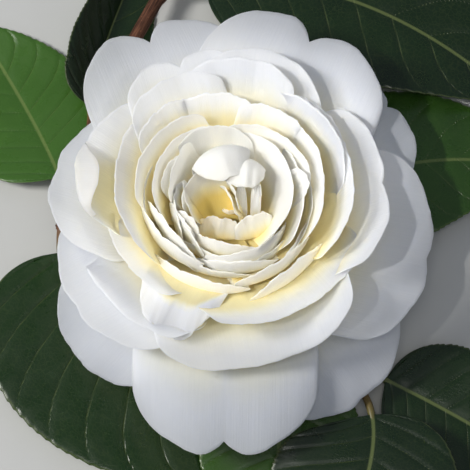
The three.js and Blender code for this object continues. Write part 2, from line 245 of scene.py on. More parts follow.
def tube_mesh(name, points, faces, space, stretch=(1, 1), slots=None):
    """The mesh of a tube, from its parts."""
    corners = space[np.concatenate([np.array(face) for face in faces])]
    return mesh_from(name, points, faces, {"BladeSpace": corners * stretch}, slots=slots)


# Petals

# What the petals of a ring share. lift and flare are the slopes at the foot and the rim in degrees, cup is
# the radius of the bend across in mm, gold_from and gold_to are distances from the rim in mm, and roll
# leans the rim sideways in degrees. The gold towards the foot is partly the petals' own yellow base and
# partly painted warm glow in the bloom's deep gaps.
GUARD = {
    "lift": 6, "flare": -6, "cup": 90, "rounding": 0.42, "claw": 0.45, "notch": 0.02, "curl": 1,
    "roll": -7, "ruffle": 0.4, "gold_from": 8, "gold_to": 30, "gold": 0.5, "thick": 0.6,
}
OUTER = {
    "lift": 16, "flare": 14, "cup": 50, "rounding": 0.4, "claw": 0.45, "notch": 0.01, "curl": 0.5,
    "roll": -4, "ruffle": 0.3, "gold_from": 2, "gold_to": 15, "gold": 0.62, "thick": 0.54,
}
MIDDLE = {
    "lift": 20, "flare": 42, "cup": 33, "rounding": 0.38, "claw": 0.45, "notch": 0.01, "curl": 0.2,
    "roll": -2, "ruffle": 0.15, "frill": 2, "gold_from": 1.4, "gold_to": 10, "gold": 0.74, "thick": 0.46,
}
INNER = {
    "lift": 25, "flare": 60, "cup": 22, "rounding": 0.34, "claw": 0.45, "notch": 0.01, "curl": 0,
    "roll": 0, "ruffle": 0.1, "frill": 2, "gold_from": 1.2, "gold_to": 9, "gold": 0.84, "thick": 0.4,
}
BALL = {
    "lift": 8, "flare": 110, "handle": 0.55, "cup": 24, "rounding": 0.3, "claw": 0.5, "notch": 0.01,
    "curl": 0, "roll": 0, "ruffle": 0.08, "frill": 2, "gold_from": 1.2, "gold_to": 9, "gold": 0.88,
    "thick": 0.42,
}
HEART = {
    "lift": 50, "flare": 85, "cup": 12, "rounding": 0.3, "claw": 0.5, "notch": 0.02, "curl": 0, "roll": 0,
    "ruffle": 0.12, "gold_from": 1.8, "gold_to": 9, "gold": 0.95, "thick": 0.34, "crinkle": 0.14,
}
PACKED = {
    **BALL, "flare": 100, "seat_radius": 6, "seat_rise": -3, "gold_from": 0, "gold_to": 5, "gold": 0.75,
    "thick": 0.4,
}


def petal_of(ring, at, reach, rise, width, **changes):
    """One petal of a ring.

    at is its heading in degrees from +X towards +Y, reach and rise are where its rim stands, and changes are
    its own differences from the ring.
    """
    return {**ring, "at": at, "reach": reach, "rise": rise, "width": width, **changes}


# The list goes from the outside in.
PETALS = [
    petal_of(GUARD, 39, 61, -8, 44, flare=-10, notch=0.08),
    petal_of(GUARD, 222, 54, -17, 40, lift=-4, flare=-25, roll=5),
    petal_of(GUARD, 308, 59, -19, 46, lift=-4, flare=-25, roll=-3),
    petal_of(GUARD, 269, 64.5, -12, 50, flare=-22, cup=-120, roll=0, notch=0.08),
    petal_of(GUARD, 350, 56, -7, 56, flare=-8, roll=-2),
    petal_of(GUARD, 212, 48.5, -1, 47, flare=0, roll=-5),
    petal_of(GUARD, 163, 49.5, 0, 44),
    petal_of(GUARD, 113, 62.5, 2, 50, notch=0.12),
    petal_of(GUARD, 66, 62, 4, 54, notch=0.12),
    petal_of(OUTER, 284, 43, -1, 56, flare=-12, cup=50, roll=-5, rounding=0.35),
    petal_of(OUTER, 214, 40, 0, 50, cup=75, roll=-12, rounding=0.25),
    petal_of(OUTER, 9, 43.5, 8, 50, flare=22, cup=60, roll=8, rounding=0.3, notch=0.05),
    petal_of(OUTER, 108, 46.5, 9.5, 34, cup=48, roll=2, rounding=0.25, notch=0.1),
    petal_of(OUTER, 77, 45.5, 12, 38, flare=25),
    petal_of(OUTER, 156, 42.5, 8, 40, flare=25, cup=40, roll=-7, rounding=0.3,
             folds=[{"at": -0.53, "half": 0.6, "full": 2.4, "share": 0.2, "angle": 132, "radius": 0.9}]),
    petal_of(OUTER, 84, 40.5, 15, 30, flare=32, roll=6, rounding=0.2),
    petal_of(OUTER, 116, 37, 16.5, 28, flare=35, roll=-2, rounding=0.2),
    petal_of(MIDDLE, 305, 35.5, 8, 48, flare=22, cup=53, roll=7, rounding=0.25),
    petal_of(MIDDLE, 211, 31.5, 7, 30, flare=30, cup=58, roll=-8, rounding=0.15),
    petal_of(MIDDLE, 245, 28.5, 6, 22, lift=30, flare=20, cup=120, roll=-3, rounding=0.05,
             shift=[-0.9, 0.3], gold_from=7.5, gold_to=10.5,
             folds=[{"at": 0, "half": 1.01, "full": 3.2, "share": 0.36, "angle": -38, "radius": 2.2}]),
    petal_of(MIDDLE, 20, 34.5, 13.5, 49, flare=50, cup=50, roll=10, rounding=0.3, frill=3),
    petal_of(MIDDLE, 40, 34.5, 15, 35, flare=58, cup=42, roll=5, rounding=0.3, frill=3),
    petal_of(MIDDLE, 170, 30.5, 15, 42, flare=45, cup=54, roll=-13, rounding=0.25),
    petal_of(MIDDLE, 98, 30, 15, 21, flare=55, cup=40, roll=8, rounding=0.15),
    petal_of(MIDDLE, 129, 30.5, 16, 20, flare=55, cup=38, roll=-9, rounding=0.15),
    petal_of(MIDDLE, 63, 28, 15.5, 19, flare=60, cup=40, roll=-5, rounding=0.15),
    petal_of(MIDDLE, 13, 26, 16, 34, flare=62, cup=38, roll=8, rounding=0.2),
    petal_of(BALL, 312, 24.5, 10, 27, flare=116, handle=0.6, cup=39, roll=3, rounding=0.2, gold=0.4),
    petal_of(BALL, 247, 22.3, 9.2, 31, flare=114, handle=0.6, cup=23, roll=-1, rounding=0.15, gold=0.35),
    petal_of(BALL, 307, 21.5, 10.5, 25, cup=23, roll=3, rounding=0.15),
    petal_of(INNER, 145, 25, 17.5, 32, flare=66, cup=27, roll=0, rounding=0.2),
    petal_of(INNER, 50, 22, 16, 30, flare=66, cup=19, roll=-8, rounding=0.15),
    petal_of(BALL, 212, 20, 12.5, 26, cup=19, roll=-13, rounding=0.15),
    petal_of(BALL, 279, 17.5, 11, 23, cup=17, roll=10, rounding=0.3),
    petal_of(INNER, 148, 20.5, 17, 30, flare=72, cup=19, roll=-2, rounding=0.15),
    petal_of(INNER, 4, 20, 15, 28, flare=66, cup=32, roll=0, rounding=0.2),
    petal_of(BALL, 207, 17.5, 14, 22, cup=26, roll=-12, rounding=0.25),
    petal_of(BALL, 295, 16, 13.5, 28, cup=14, roll=1, rounding=0.2),
    petal_of(INNER, 102, 19, 18, 21, flare=76, cup=21, roll=8, rounding=0.25, gold_from=6, gold_to=18),
    petal_of(INNER, 14, 17.5, 16.5, 40, flare=64, cup=19, roll=4, rounding=0.3, gold_from=8, gold_to=18),
    petal_of(BALL, 259, 12, 11.5, 21, cup=16, roll=6, rounding=0.2),
    petal_of(INNER, 155, 18, 15.5, 11, flare=74, cup=25, roll=2, rounding=0.15),
    petal_of(BALL, 204, 13.5, 13.5, 12, cup=12, roll=-12, rounding=0.15),
    petal_of(INNER, 151, 16, 18, 17, flare=80, cup=45, roll=-10, rounding=0.15, gold_from=5, gold_to=16),
    petal_of(HEART, 172, 14, 13.5, 7, gold_from=0.8, gold_to=6, flare=80, cup=15, roll=5, rounding=0.15),
    petal_of(HEART, 211, 11.5, 15, 10, lift=0, flare=104, handle=0.75, cup=24, roll=-16, rounding=0.25),
    petal_of(HEART, 182, 11.5, 16.5, 10, flare=82, cup=26, roll=-9, rounding=0.15, gold_from=3,
             gold_to=12),
    petal_of(HEART, 86, 3, 14.5, 3, lift=75, flare=60, cup=-2.2, seat_radius=-3.5, seat_rise=2,
             shift=[7.4, 0], gold_from=6, gold_to=13, crinkle=0.3),
    petal_of(HEART, 290, 5, 9.5, 12, lift=-6, flare=112, handle=0.85, cup=14, shift=[4.8, 1.3],
             crinkle=0.5),
    petal_of(HEART, 262, 4.5, 9, 12, lift=-6, flare=112, handle=0.85, cup=20, rounding=0.25,
             shift=[-1.7, 0.5], crinkle=0.6),
    petal_of(HEART, 96, 3, 14.5, 3, lift=75, flare=60, cup=-2.4, seat_radius=-3, seat_rise=2,
             shift=[3.7, 0], gold_from=6, gold_to=13, crinkle=0.3),
    petal_of(HEART, 110, 3.4, 17.5, 18, lift=58, flare=205, cup=11, handle=0.8, seat_radius=9,
             seat_rise=0, claw=0.95, rounding=0.24, shift=[1.8, -0.2], gold_from=5, gold_to=20, gold=0.6,
             crinkle=0.25),
    petal_of(HEART, 84, 1.4, 16, 13, lift=60, flare=212, cup=7.5, handle=0.7, seat_radius=8, seat_rise=0,
             shift=[3.4, -0.2], gold_from=5, gold_to=16, gold=0.6, crinkle=0.45, rounding=0.15),
    petal_of(HEART, 27, 0.5, 15, 9, flare=80, cup=14, roll=1, rounding=0.25, gold_from=1, gold_to=6),
    petal_of(HEART, 29, 2, 16, 8, flare=80, cup=12, roll=7, rounding=0.15, gold_from=1, gold_to=6),
    petal_of(HEART, 100, 8.5, 15.5, 27, lift=28, flare=76, cup=11.5, seat_radius=-1.5, seat_rise=2,
             shift=[-1.6, 0], gold_from=2.5, gold_to=12, gold=1.05, rounding=0.2, crinkle=0.25),
    petal_of(HEART, 262, 2.6, 9.5, 4.4, lift=40, flare=100, cup=3, seat_radius=-1, seat_rise=2,
             shift=[0.6, 0.4], gold_from=2, gold_to=6, rounding=0.4, crinkle=0.15),
    petal_of(PACKED, 205, 18.5, 10, 26),
    petal_of(PACKED, 228, 18, 8, 24),
    petal_of(PACKED, 256, 18.5, 7, 26),
    petal_of(PACKED, 212, 13.5, 12.5, 18),
    petal_of(PACKED, 245, 14.5, 8.5, 22),
    petal_of(PACKED, 278, 14.5, 8, 22),
    petal_of(PACKED, 308, 17.5, 8.5, 24),
    petal_of(PACKED, 330, 21, 10, 20),
    petal_of(PACKED, 190, 14, 13.5, 18),
    petal_of(PACKED, 0, 22.5, 12, 30, flare=75),
    petal_of(PACKED, 165, 22.5, 12.5, 30, flare=75),
    petal_of(INNER, 10, 21.5, 17, 9, flare=40, cup=14, roll=-12, rounding=0.2, seat_radius=9,
             seat_rise=-1),
]
# The seats wind inwards and upwards as far as this place in the list.
TOP_PLACE = 53
OUTER_SEAT, SEATS_INWARDS = 16, 14
LOWEST_SEAT, SEATS_UPWARDS = -8, 9
FIRST_SEED = 100
for order, row in enumerate(PETALS):
    climb = min(1, order / TOP_PLACE)
    row.setdefault("seat_radius", OUTER_SEAT - SEATS_INWARDS * climb)
    row.setdefault("seat_rise", LOWEST_SEAT + SEATS_UPWARDS * climb)
    row["seed"] = FIRST_SEED + order

# Where a petal reaches its full width and where its frill begins, as shares of its length, and the width of
# the notch in its rim.
FULL_WIDTH_AT, FRILL_FROM, NOTCH_WIDTH = 0.68, 0.7, 0.15
# The rim's waves: their rates across the petal and, for the small ones, their depth as a share of the length.
RUFFLES, SCALLOPS, SCALLOP_DEPTH, FRILLS, FRILL_DEPTH = 7, 11, 0.006, 30, 0.0035
# Petals of this length are frilled as they say, and shorter ones more, down to the shortest, in mm.
FRILLED_LENGTH, SHORTEST_FRILLED = 30, 12
# The skin's own unevenness: its rates across the petal and its depths in mm.
CRINKLES, CRINKLE_DEPTH, CREASES, CREASE_DEPTH = 9, 0.09, 34, 0.02


def petal_profile(petal, share):
    """Radius and rise of the petal's middle line at shares of its length, and the line's direction there."""
    start = np.array([petal["seat_radius"], petal["seat_rise"]], float)
    end = np.array([petal["reach"], petal["rise"]], float)
    handle = petal.get("handle", 0.4) * np.linalg.norm(end - start)
    a, b = math.radians(petal["lift"]), math.radians(petal["flare"])
    one = start + handle * np.array([math.cos(a), math.sin(a)])
    two = end - handle * np.array([math.cos(b), math.sin(b)])
    t = np.asarray(share)[..., None]
    place = (1 - t) ** 3 * start + 3 * (1 - t) ** 2 * t * one + 3 * (1 - t) * t**2 * two + t**3 * end
    slope = 3 * (1 - t) ** 2 * (one - start) + 6 * (1 - t) * t * (two - one) + 3 * t**2 * (end - two)
    return place, unit(slope)


def petal_surface(petal, u, v):
    """Points of the petal's middle surface, in mm. u runs from seat to rim, and v from margin to margin."""
    seed = petal["seed"]
    shoulder = 1 - np.sqrt(np.maximum(0, 1 - v * v))
    dip = np.exp(-np.abs(v) / NOTCH_WIDTH)
    scallop = SCALLOP_DEPTH * np.sin(SCALLOPS * v + petal["at"])
    frill = FRILL_DEPTH * waves(FRILLS * v, seed, 4) * petal.get("frill", 1) * smooth(FRILL_FROM, 1, u)
    length = np.hypot(petal["reach"] - petal["seat_radius"], petal["rise"] - petal["seat_rise"])
    share = u * (1 - petal["rounding"] * shoulder - petal["notch"] * dip + scallop)
    share = share + frill * FRILLED_LENGTH / max(length, SHORTEST_FRILLED)
    place, along = petal_profile(petal, share)
    claw = petal["claw"]
    spread = claw + (1 - claw) * np.sin((math.pi / 2) * np.minimum(1, u / FULL_WIDTH_AT))
    x = v * spread * petal["width"] / 2
    bend = 1 / petal["cup"]
    sideways = np.sin(x * bend) / bend
    ripple = petal["ruffle"] * np.sin(RUFFLES * v + petal["at"])
    inwards = (1 - np.cos(x * bend)) / bend + ripple * u**3 - petal["curl"] * v**4 * u**2
    crinkle = petal.get("crinkle", CRINKLE_DEPTH)
    inwards = inwards + crinkle * waves(CRINKLES * v, seed + 7) * smooth(0.55, 1.0, u)
    inwards = inwards + CREASE_DEPTH * waves(CREASES * v + 3 * u, seed + 9) * smooth(0.2, 0.9, u)
    turn = math.radians(petal["roll"]) * u
    across = sideways * np.cos(turn) - inwards * np.sin(turn)
    above = sideways * np.sin(turn) + inwards * np.cos(turn)
    radius = place[..., 0] - above * along[..., 1]
    height = place[..., 1] + above * along[..., 0]
    heading = math.radians(petal["at"])
    shift_x, shift_y = petal.get("shift", (0, 0))
    x = radius * math.cos(heading) + across * math.sin(heading) + shift_x
    y = radius * math.sin(heading) - across * math.cos(heading) + shift_y
    return np.stack([x, y, BLOOM_SEAT + height], -1)


def fold_depth(fold, v):
    """How far the turned part of a margin reaches at v, as a share of the petal's length."""
    return fold["share"] * (1 - np.minimum(1, np.abs((v - fold["at"]) / fold["half"]) ** fold["full"]))


def turned_margin(points, u, v, fold):
    """Rolls the part of a petal beyond its crease over its inner face, or its back at a negative angle."""
    crease = 1 / (1 + fold_depth(fold, v[0]))
    rows = points.shape[0]
    run = run_along(points)
    normals = grid_normals(points)
    result = points.copy()
    angle = math.radians(fold["angle"])
    for j in range(points.shape[1]):
        k = int(np.searchsorted(u[:, j], crease[j]))
        if k < 2 or k >= rows - 1:
            continue
        start = np.interp(crease[j], u[:, j], run[:, j])
        base = np.array([np.interp(start, run[:, j], points[:, j, axis]) for axis in range(3)])
        normal = normals[k - 1, j]
        ahead = unit(points[k - 1, j] - points[k - 2, j])
        for i in range(k, rows):
            s = run[i, j] - start
            bend = min(s / fold["radius"], abs(angle))
            rest = s - bend * fold["radius"]
            forward = fold["radius"] * math.sin(bend) + rest * math.cos(bend)
            up = fold["radius"] * (1 - math.cos(bend)) + rest * math.sin(bend)
            result[i, j] = base + ahead * forward + normal * up * math.copysign(1, angle)
    return result


# A petal's foot runs in this many rows down to a short line on the receptacle.
CLAW_ROWS = 5
# That line's distance from the bloom's axis in mm, the share of the seat's radius added to it, and its half
# width in mm.
CORE_RADIUS, CORE_SPREAD, CORE_HALF_WIDTH = 2, 0.2, 2.2
# Shares of its thickness that a petal loses towards its rim and its margins.
RIM_THINNING, MARGIN_THINNING = 0.78, 0.55
# The rings' thicknesses are right where the setting has this value, in mm.
USUAL_THICKNESS = 0.5


def petal_grid(petal, lines, columns):
    """The petal's middle surface as a grid from the receptacle to the rim, with its u and v."""
    even = np.linspace(-1, 1, columns)
    v_line = 0.6 * np.sin((math.pi / 2) * even) + 0.4 * even
    u_line = np.linspace(0, 1, lines) ** 0.9
    u, v = np.meshgrid(u_line, v_line, indexing="ij")
    folds = petal.get("folds", [])
    points = petal_surface(petal, u * (1 + sum(fold_depth(fold, v) for fold in folds)), v)
    for fold in folds:
        points = turned_margin(points, u, v, fold)
    heading = math.radians(petal["at"])
    out = np.array([math.cos(heading), math.sin(heading), 0])
    side = np.array([math.sin(heading), -math.cos(heading), 0])
    core = out * (CORE_RADIUS + petal["seat_radius"] * CORE_SPREAD)
    core = core + side * v_line[:, None] * CORE_HALF_WIDTH + UP * (BLOOM_SEAT + RECEPTACLE_RISE)
    claws = []
    for k in range(CLAW_ROWS):
        s = k / CLAW_ROWS
        claws.append(core + (points[0] - core) * np.array([s, s, s**1.6]))
    grid = np.concatenate([np.array(claws), points])
    u_all = np.concatenate([np.zeros((CLAW_ROWS, columns)), u])
    v_all = np.concatenate([np.tile(v_line, (CLAW_ROWS, 1)), v])
    return grid, u_all, v_all


def petal_mesh(name, petal, settings, lines, columns):
    """A whole petal, closed, thinning towards its rim and margins."""
    grid, u, v = petal_grid(petal, lines, columns)
    run = run_along(grid)
    from_rim = run[-1:] - run
    # Gold towards the foot: partly the petal's own yellow base, partly painted warm glow in the bloom's deep
    # gaps.
    gold = petal["gold"] * smooth(petal["gold_from"], petal["gold_to"], from_rim)
    thinned = petal["thick"] * (1 - RIM_THINNING * u**3) * (1 - MARGIN_THINNING * v**8)
    space = np.stack([v * 0.5 + 0.5, run / max(run.max(), 1e-6)], -1)
    thickness = thinned * settings.thickness / USUAL_THICKNESS
    return blade_mesh(name, grid, thickness, space, {"gold": gold, "from_rim": from_rim})


# Twigs


def catmull_rom(points, samples):
    """Points evenly spaced along a centripetal spline through the given points."""
    p = [np.array(q, float) for q in points]
    p = [2 * p[0] - p[1], *p, 2 * p[-1] - p[-2]]
    dense = []
    for k in range(1, len(p) - 2):
        spacing = [np.linalg.norm(p[k + n] - p[k + n - 1]) ** 0.5 for n in range(3)]
        t0 = 0
        t1, t2, t3 = np.cumsum(spacing)
        for t in np.linspace(t1, t2, 60, endpoint=k == len(p) - 3):
            a1 = (t1 - t) / (t1 - t0) * p[k - 1] + (t - t0) / (t1 - t0) * p[k]
            a2 = (t2 - t) / (t2 - t1) * p[k] + (t - t1) / (t2 - t1) * p[k + 1]
            a3 = (t3 - t) / (t3 - t2) * p[k + 1] + (t - t2) / (t3 - t2) * p[k + 2]
            b1 = (t2 - t) / (t2 - t0) * a1 + (t - t0) / (t2 - t0) * a2
            b2 = (t3 - t) / (t3 - t1) * a2 + (t - t1) / (t3 - t1) * a3
            dense.append((t2 - t) / (t2 - t1) * b1 + (t - t1) / (t2 - t1) * b2)
    dense = np.array(dense)
    run = np.concatenate([[0], np.cumsum(np.linalg.norm(np.diff(dense, axis=0), axis=1))])
    wanted = np.linspace(0, run[-1], samples)
    return np.stack([np.interp(wanted, run, dense[:, axis]) for axis in range(3)], 1)


# Radii of the limbs at their two ends, and the points that their middle lines pass, in mm.
TWIG_RADIUS, TWIG_TIP_RADIUS = 2.3, 1.7
SHOOT_RADIUS, SHOOT_TIP_RADIUS = 1.6, 1.3
TWIG_PATH = [
    [-8, 108, TWIG_RADIUS], [-21, 79, 7.5], [-32, 54, 10], [-38, 38, 10.5], [-43, 21, 10], [-47, 5, 9.5],
]
LINE_STEPS = 400
TWIG_LINE = catmull_rom(TWIG_PATH, LINE_STEPS + 1)
# The shoot leaves the twig at this share of the twig's length.
SHOOT_FORK = 0.7
SHOOT_PATH = [
    TWIG_LINE[int(LINE_STEPS * SHOOT_FORK)].tolist(), [-20, 18, SHOOT_HEIGHT + 0.6],
    [0, 0, SHOOT_HEIGHT], [20, -22, SHOOT_HEIGHT], [36, -41, SHOOT_HEIGHT],
]
SHOOT_LINE = catmull_rom(SHOOT_PATH, LINE_STEPS + 1)
LIMBS = {
    "twig": (TWIG_LINE, TWIG_RADIUS, TWIG_TIP_RADIUS),
    "shoot": (SHOOT_LINE, SHOOT_RADIUS, SHOOT_TIP_RADIUS),
}
# The part's source keeps its petioles this far clear of the limbs, and gives them these sizes, in mm.
GAP = 0.3
PETIOLE_WIDTH, PETIOLE_DEPTH = 2.4, 1.9


def limb_radius(limb, run):
    """The radius of a limb, which narrows evenly, at shares of its length."""
    _, start, end = LIMBS[limb]
    return start + (end - start) * run


def bud_point(limb, share, target):
    """Where a petiole leaves its limb, as in the part's source, and the limb's middle there."""
    line = LIMBS[limb][0]
    k = int(round(share * (len(line) - 1)))
    start = line[k]
    tangent = unit(line[min(k + 1, len(line) - 1)] - line[max(k - 1, 0)])
    way = unit(np.array(target, float) - start)
    lean = abs(way @ tangent)
    square = math.sqrt(1 - lean**2)
    radius = limb_radius(limb, share)
    corner = PETIOLE_WIDTH / 2 * lean + PETIOLE_DEPTH / 2 * abs(way[2])
    from_side = (radius + GAP + corner) / square
    from_end = GAP + (radius + PETIOLE_WIDTH / 2) * square
    return start + way * (from_side if share < 1 else from_end), start


# Leaves

# fold is how far each half is raised and twist how far the blade is turned, in degrees, and petiole is the
# petiole's share of the leaf's length.
LEAF = {"limb": "shoot", "petiole": 0.1, "fold": 4, "twist": 0, "wave": 0.6, "resting": True}


def leaf_of(share, crown, tip, width, tone_and_light, **changes):
    """One leaf.

    share is how far along its limb it grows, crown and tip steer its arch, tone_and_light runs from the
    darkest green at 0 to the brightest at 1, partly the leaf's own green and partly painted light and shade,
    and changes are its own differences from LEAF.
    """
    return {**LEAF, "share": share, "crown": crown, "tip": tip, "width": width, "tone_and_light": tone_and_light, **changes}


LEAVES = {
    "leaf_front_left": leaf_of(1, [-49, -30, 8], [6, -66, 1], 58, 0.35, limb="twig"),
    "leaf_front_middle": leaf_of(0.72, [14, -50, 4.8], [12, -92, 1], 44, 0.75, petiole=0.2),
    "leaf_front_right": leaf_of(1, [48, -63, 15], [10, -118, 1], 50, 0.05, petiole=0.16),
    "leaf_right_low": leaf_of(0.9, [57, -42, 3], [94, -68, 3], 38, 0.15, petiole=0.2),
    "leaf_right": leaf_of(0.56, [40, 38, 7], [92, 26, 1], 48, 0.7),
    "leaf_back_right": leaf_of(0.27, [34, 86, 24], [84, 45, 7], 54, 0.12, limb="twig", resting=False),
    "leaf_back_left": leaf_of(0.72, [-42, 58, 0], [-24, 104, 1], 28, 0.1, limb="twig", fold=28, twist=28),
    "leaf_left": leaf_of(0.93, [-54, 40, -2], [-76, 74, 1], 42, 1.0, limb="twig"),
}

FIRST_LEAF_SEED = 40
# A blade's half width follows share**0.5 * (1 - share)**0.75, which is this high at its widest.
OUTLINE_PEAK = 0.431
TEETH = 34
# The least half width of the petiole's end and of the tip, in mm.
LEAST_AT_FOOT, LEAST_AT_TIP = 0.8, 0.12
# Depths in mm of the groove over the midrib, the grooves over the side veins, the unevenness and the edge.
MIDRIB_GROOVE, VEIN_GROOVE, LEAF_UNEVENNESS, EDGE_DROP = 0.35, 0.28, 0.25, 0.2
BLADE_LINES, BLADE_COLUMNS = 150, 49
# The midrib under the blade ends at this share of the leaf.
RIB_END, RIB_STEPS, RIB_SIDES, ROOT_STEPS = 0.93, 90, 12, 8
# Radii in mm of the petiole, of the midrib under the blade beyond that at its tip, and at its tip.
PETIOLE_RADIUS, RIB_RADIUS, RIB_TIP_RADIUS = 1.05, 0.75, 0.12
# A petiole starts this far from its limb's middle, as a share of the way out, and narrows from this radius.
ROOT_DEPTH, ROOT_RADIUS, ROOT_TAPER = 0.35, 1.5, 0.45


def turned(vectors, axes, angle):
    """Vectors turned about unit axes by an angle for each."""
    cosine, sine = np.cos(angle)[..., None], np.sin(angle)[..., None]
    dot = np.sum(vectors * axes, -1, keepdims=True)
    return vectors * cosine + np.cross(axes, vectors) * sine + axes * dot * (1 - cosine)


def midrib_line(leaf, drop, u):
    """Points and directions of the leaf's middle line."""
    crown = np.array(leaf["crown"], float) - [0, 0, drop]
    tip = np.array(leaf["tip"], float) - [0, 0, drop]
    foot, _ = bud_point(leaf["limb"], leaf["share"], crown)
    t = np.asarray(u)[..., None]
    place = (1 - t) ** 2 * foot + 2 * (1 - t) * t * crown + t**2 * tip
    along = unit(2 * (1 - t) * (crown - foot) + 2 * t * (tip - crown))
    return place, along


def blade_axes(leaf, along, u):
    """Directions across the leaf and out of its upper face, with its twist."""
    side = unit(np.cross(along, UP))
    up = np.cross(side, along)
    turn = math.radians(leaf["twist"]) * np.minimum(1, 3 * u)
    return turned(side, along, turn), turned(up, along, turn)


def blade_share(leaf, u):
    """How far along the blade, from its petiole to its tip, a place on the leaf is."""
    return np.clip((u - leaf["petiole"]) / (1 - leaf["petiole"]), 0, 1)


def leaf_surface(leaf, drop, u, v, seed, settings):
    """Points of the blade's middle surface. u runs from foot to tip, and v from margin to margin."""
    share = blade_share(leaf, u)
    away = np.abs(v)
    outline = np.sqrt(share) * (1 - share) ** 0.75 / OUTLINE_PEAK * (1 - 0.25 * share**7)
    tooth = np.mod(share * TEETH, 1.0) - 0.5
    serration = settings.teeth * tooth * smooth(0.06, 0.2, share) * smooth(1.0, 0.93, share)
    half = leaf["width"] / 2 * outline + serration * smooth(0.8, 1.0, away)
    half = half + 0.25 * waves(5 * share, seed) * share
    half = np.maximum(half, np.where(u < 0.5, LEAST_AT_FOOT, LEAST_AT_TIP))
    middle, along = midrib_line(leaf, drop, u)
    side, up = blade_axes(leaf, along, u)
    fold = math.radians(leaf["fold"])
    ribs = side_vein(share, away, settings.vein_count)
    quilt = np.minimum(1, half / 12)
    lift = half * away * math.sin(fold)
    lift = lift + leaf["wave"] * np.sin(9 * u + np.where(v > 0, 0, 2)) * v * v * np.minimum(1, half / 6)
    lift = lift - MIDRIB_GROOVE * np.exp(-((away * half / 1.6) ** 2)) * smooth(0.02, 0.1, share)
    lift = lift - VEIN_GROOVE * np.exp(-((ribs / 0.09) ** 2)) * quilt * smooth(0.03, 0.15, away)
    lift = lift + LEAF_UNEVENNESS * waves(8 * share + 2 * v, seed + 3) * away * quilt
    lift = lift - EDGE_DROP * smooth(0.9, 1.0, away) * quilt
    across = v * half * math.cos(fold)
    return middle + side * across[..., None] + up * lift[..., None], half


def side_vein(share, away, count):
    """Distance from the nearest side vein, in vein spacings, from 0 on the vein to 0.5 between two."""
    sweep = share * 1.06 - 0.17 * away**0.85 - 0.05 * away**3
    phase = np.mod(sweep * count, 1.0)
    return np.minimum(phase, 1 - phase)


def leaf_drop(leaf, seed, settings):
    """How far the leaf is let down to rest on the surface."""
    if not leaf["resting"]:
        return 0.0
    u, v = np.meshgrid(np.linspace(0, 1, 60), np.linspace(-1, 1, 21), indexing="ij")
    drop = 0.0
    for _ in range(5):
        points, _ = leaf_surface(leaf, drop, u, v, seed, settings)
        drop += points[..., 2].min() - settings.thickness
    return drop


def leaf_mesh(name, leaf, seed, settings):
    """A leaf's blade, closed and thin, on a tapering petiole that runs on as the midrib under it."""
    drop = leaf_drop(leaf, seed, settings)
    start = leaf["petiole"] * 0.93
    u_line = start + (1 - start) * np.linspace(0, 1, BLADE_LINES)
    u, v = np.meshgrid(u_line, np.linspace(-1, 1, BLADE_COLUMNS), indexing="ij")
    points, half = leaf_surface(leaf, drop, u, v, seed, settings)
    share = blade_share(leaf, u)
    away = np.abs(v)
    by_midrib = np.exp(-((away * half / 1.5) ** 2))
    thickness = settings.thickness * (1 + 0.5 * by_midrib) * (1 - 0.35 * away**6)
    reach = np.linalg.norm(np.diff(points[:, BLADE_COLUMNS // 2], axis=0), axis=-1).sum()
    space = np.stack([v * half / reach + 0.5, share], -1)
    values = {
        "tone_and_light": np.full(u.shape, leaf["tone_and_light"]),
        "away": away,
        "rib": side_vein(share, away, settings.vein_count),
        "midrib": away * half,
    }
    blade = blade_mesh(name + "_blade", points, thickness, space, values)

    t = np.linspace(0, RIB_END, RIB_STEPS)
    line, along = midrib_line(leaf, drop, t)
    up = blade_axes(leaf, along, t)[1]
    under = smooth(leaf["petiole"] * 0.7, leaf["petiole"] * 1.5, t)
    radius = PETIOLE_RADIUS * (1 - under) + under * (RIB_RADIUS * (1 - t) + RIB_TIP_RADIUS)
    line = line - up * (under * (radius * 0.55 + 0.35))[:, None]
    foot, heart = bud_point(leaf["limb"], leaf["share"], np.array(leaf["crown"]) - [0, 0, drop])
    inwards = np.linspace(0, 1, ROOT_STEPS, endpoint=False)
    root = heart + (foot - heart) * (ROOT_DEPTH + (1 - ROOT_DEPTH) * inwards[:, None])
    line = np.concatenate([root, line])
    radius = np.concatenate([ROOT_RADIUS - ROOT_TAPER * inwards, radius])
    if leaf["resting"]:
        line[:, 2] = np.maximum(line[:, 2], radius + 0.05)
    tube = tube_parts(line, radius, RIB_SIDES)[:3]
    return blade, tube_mesh(name + "_petiole", *tube, stretch=(0.01, 1))


# Finishes

# Distance between two growth rings of the cut wood, in metres.
RING_SPACING = 0.00055


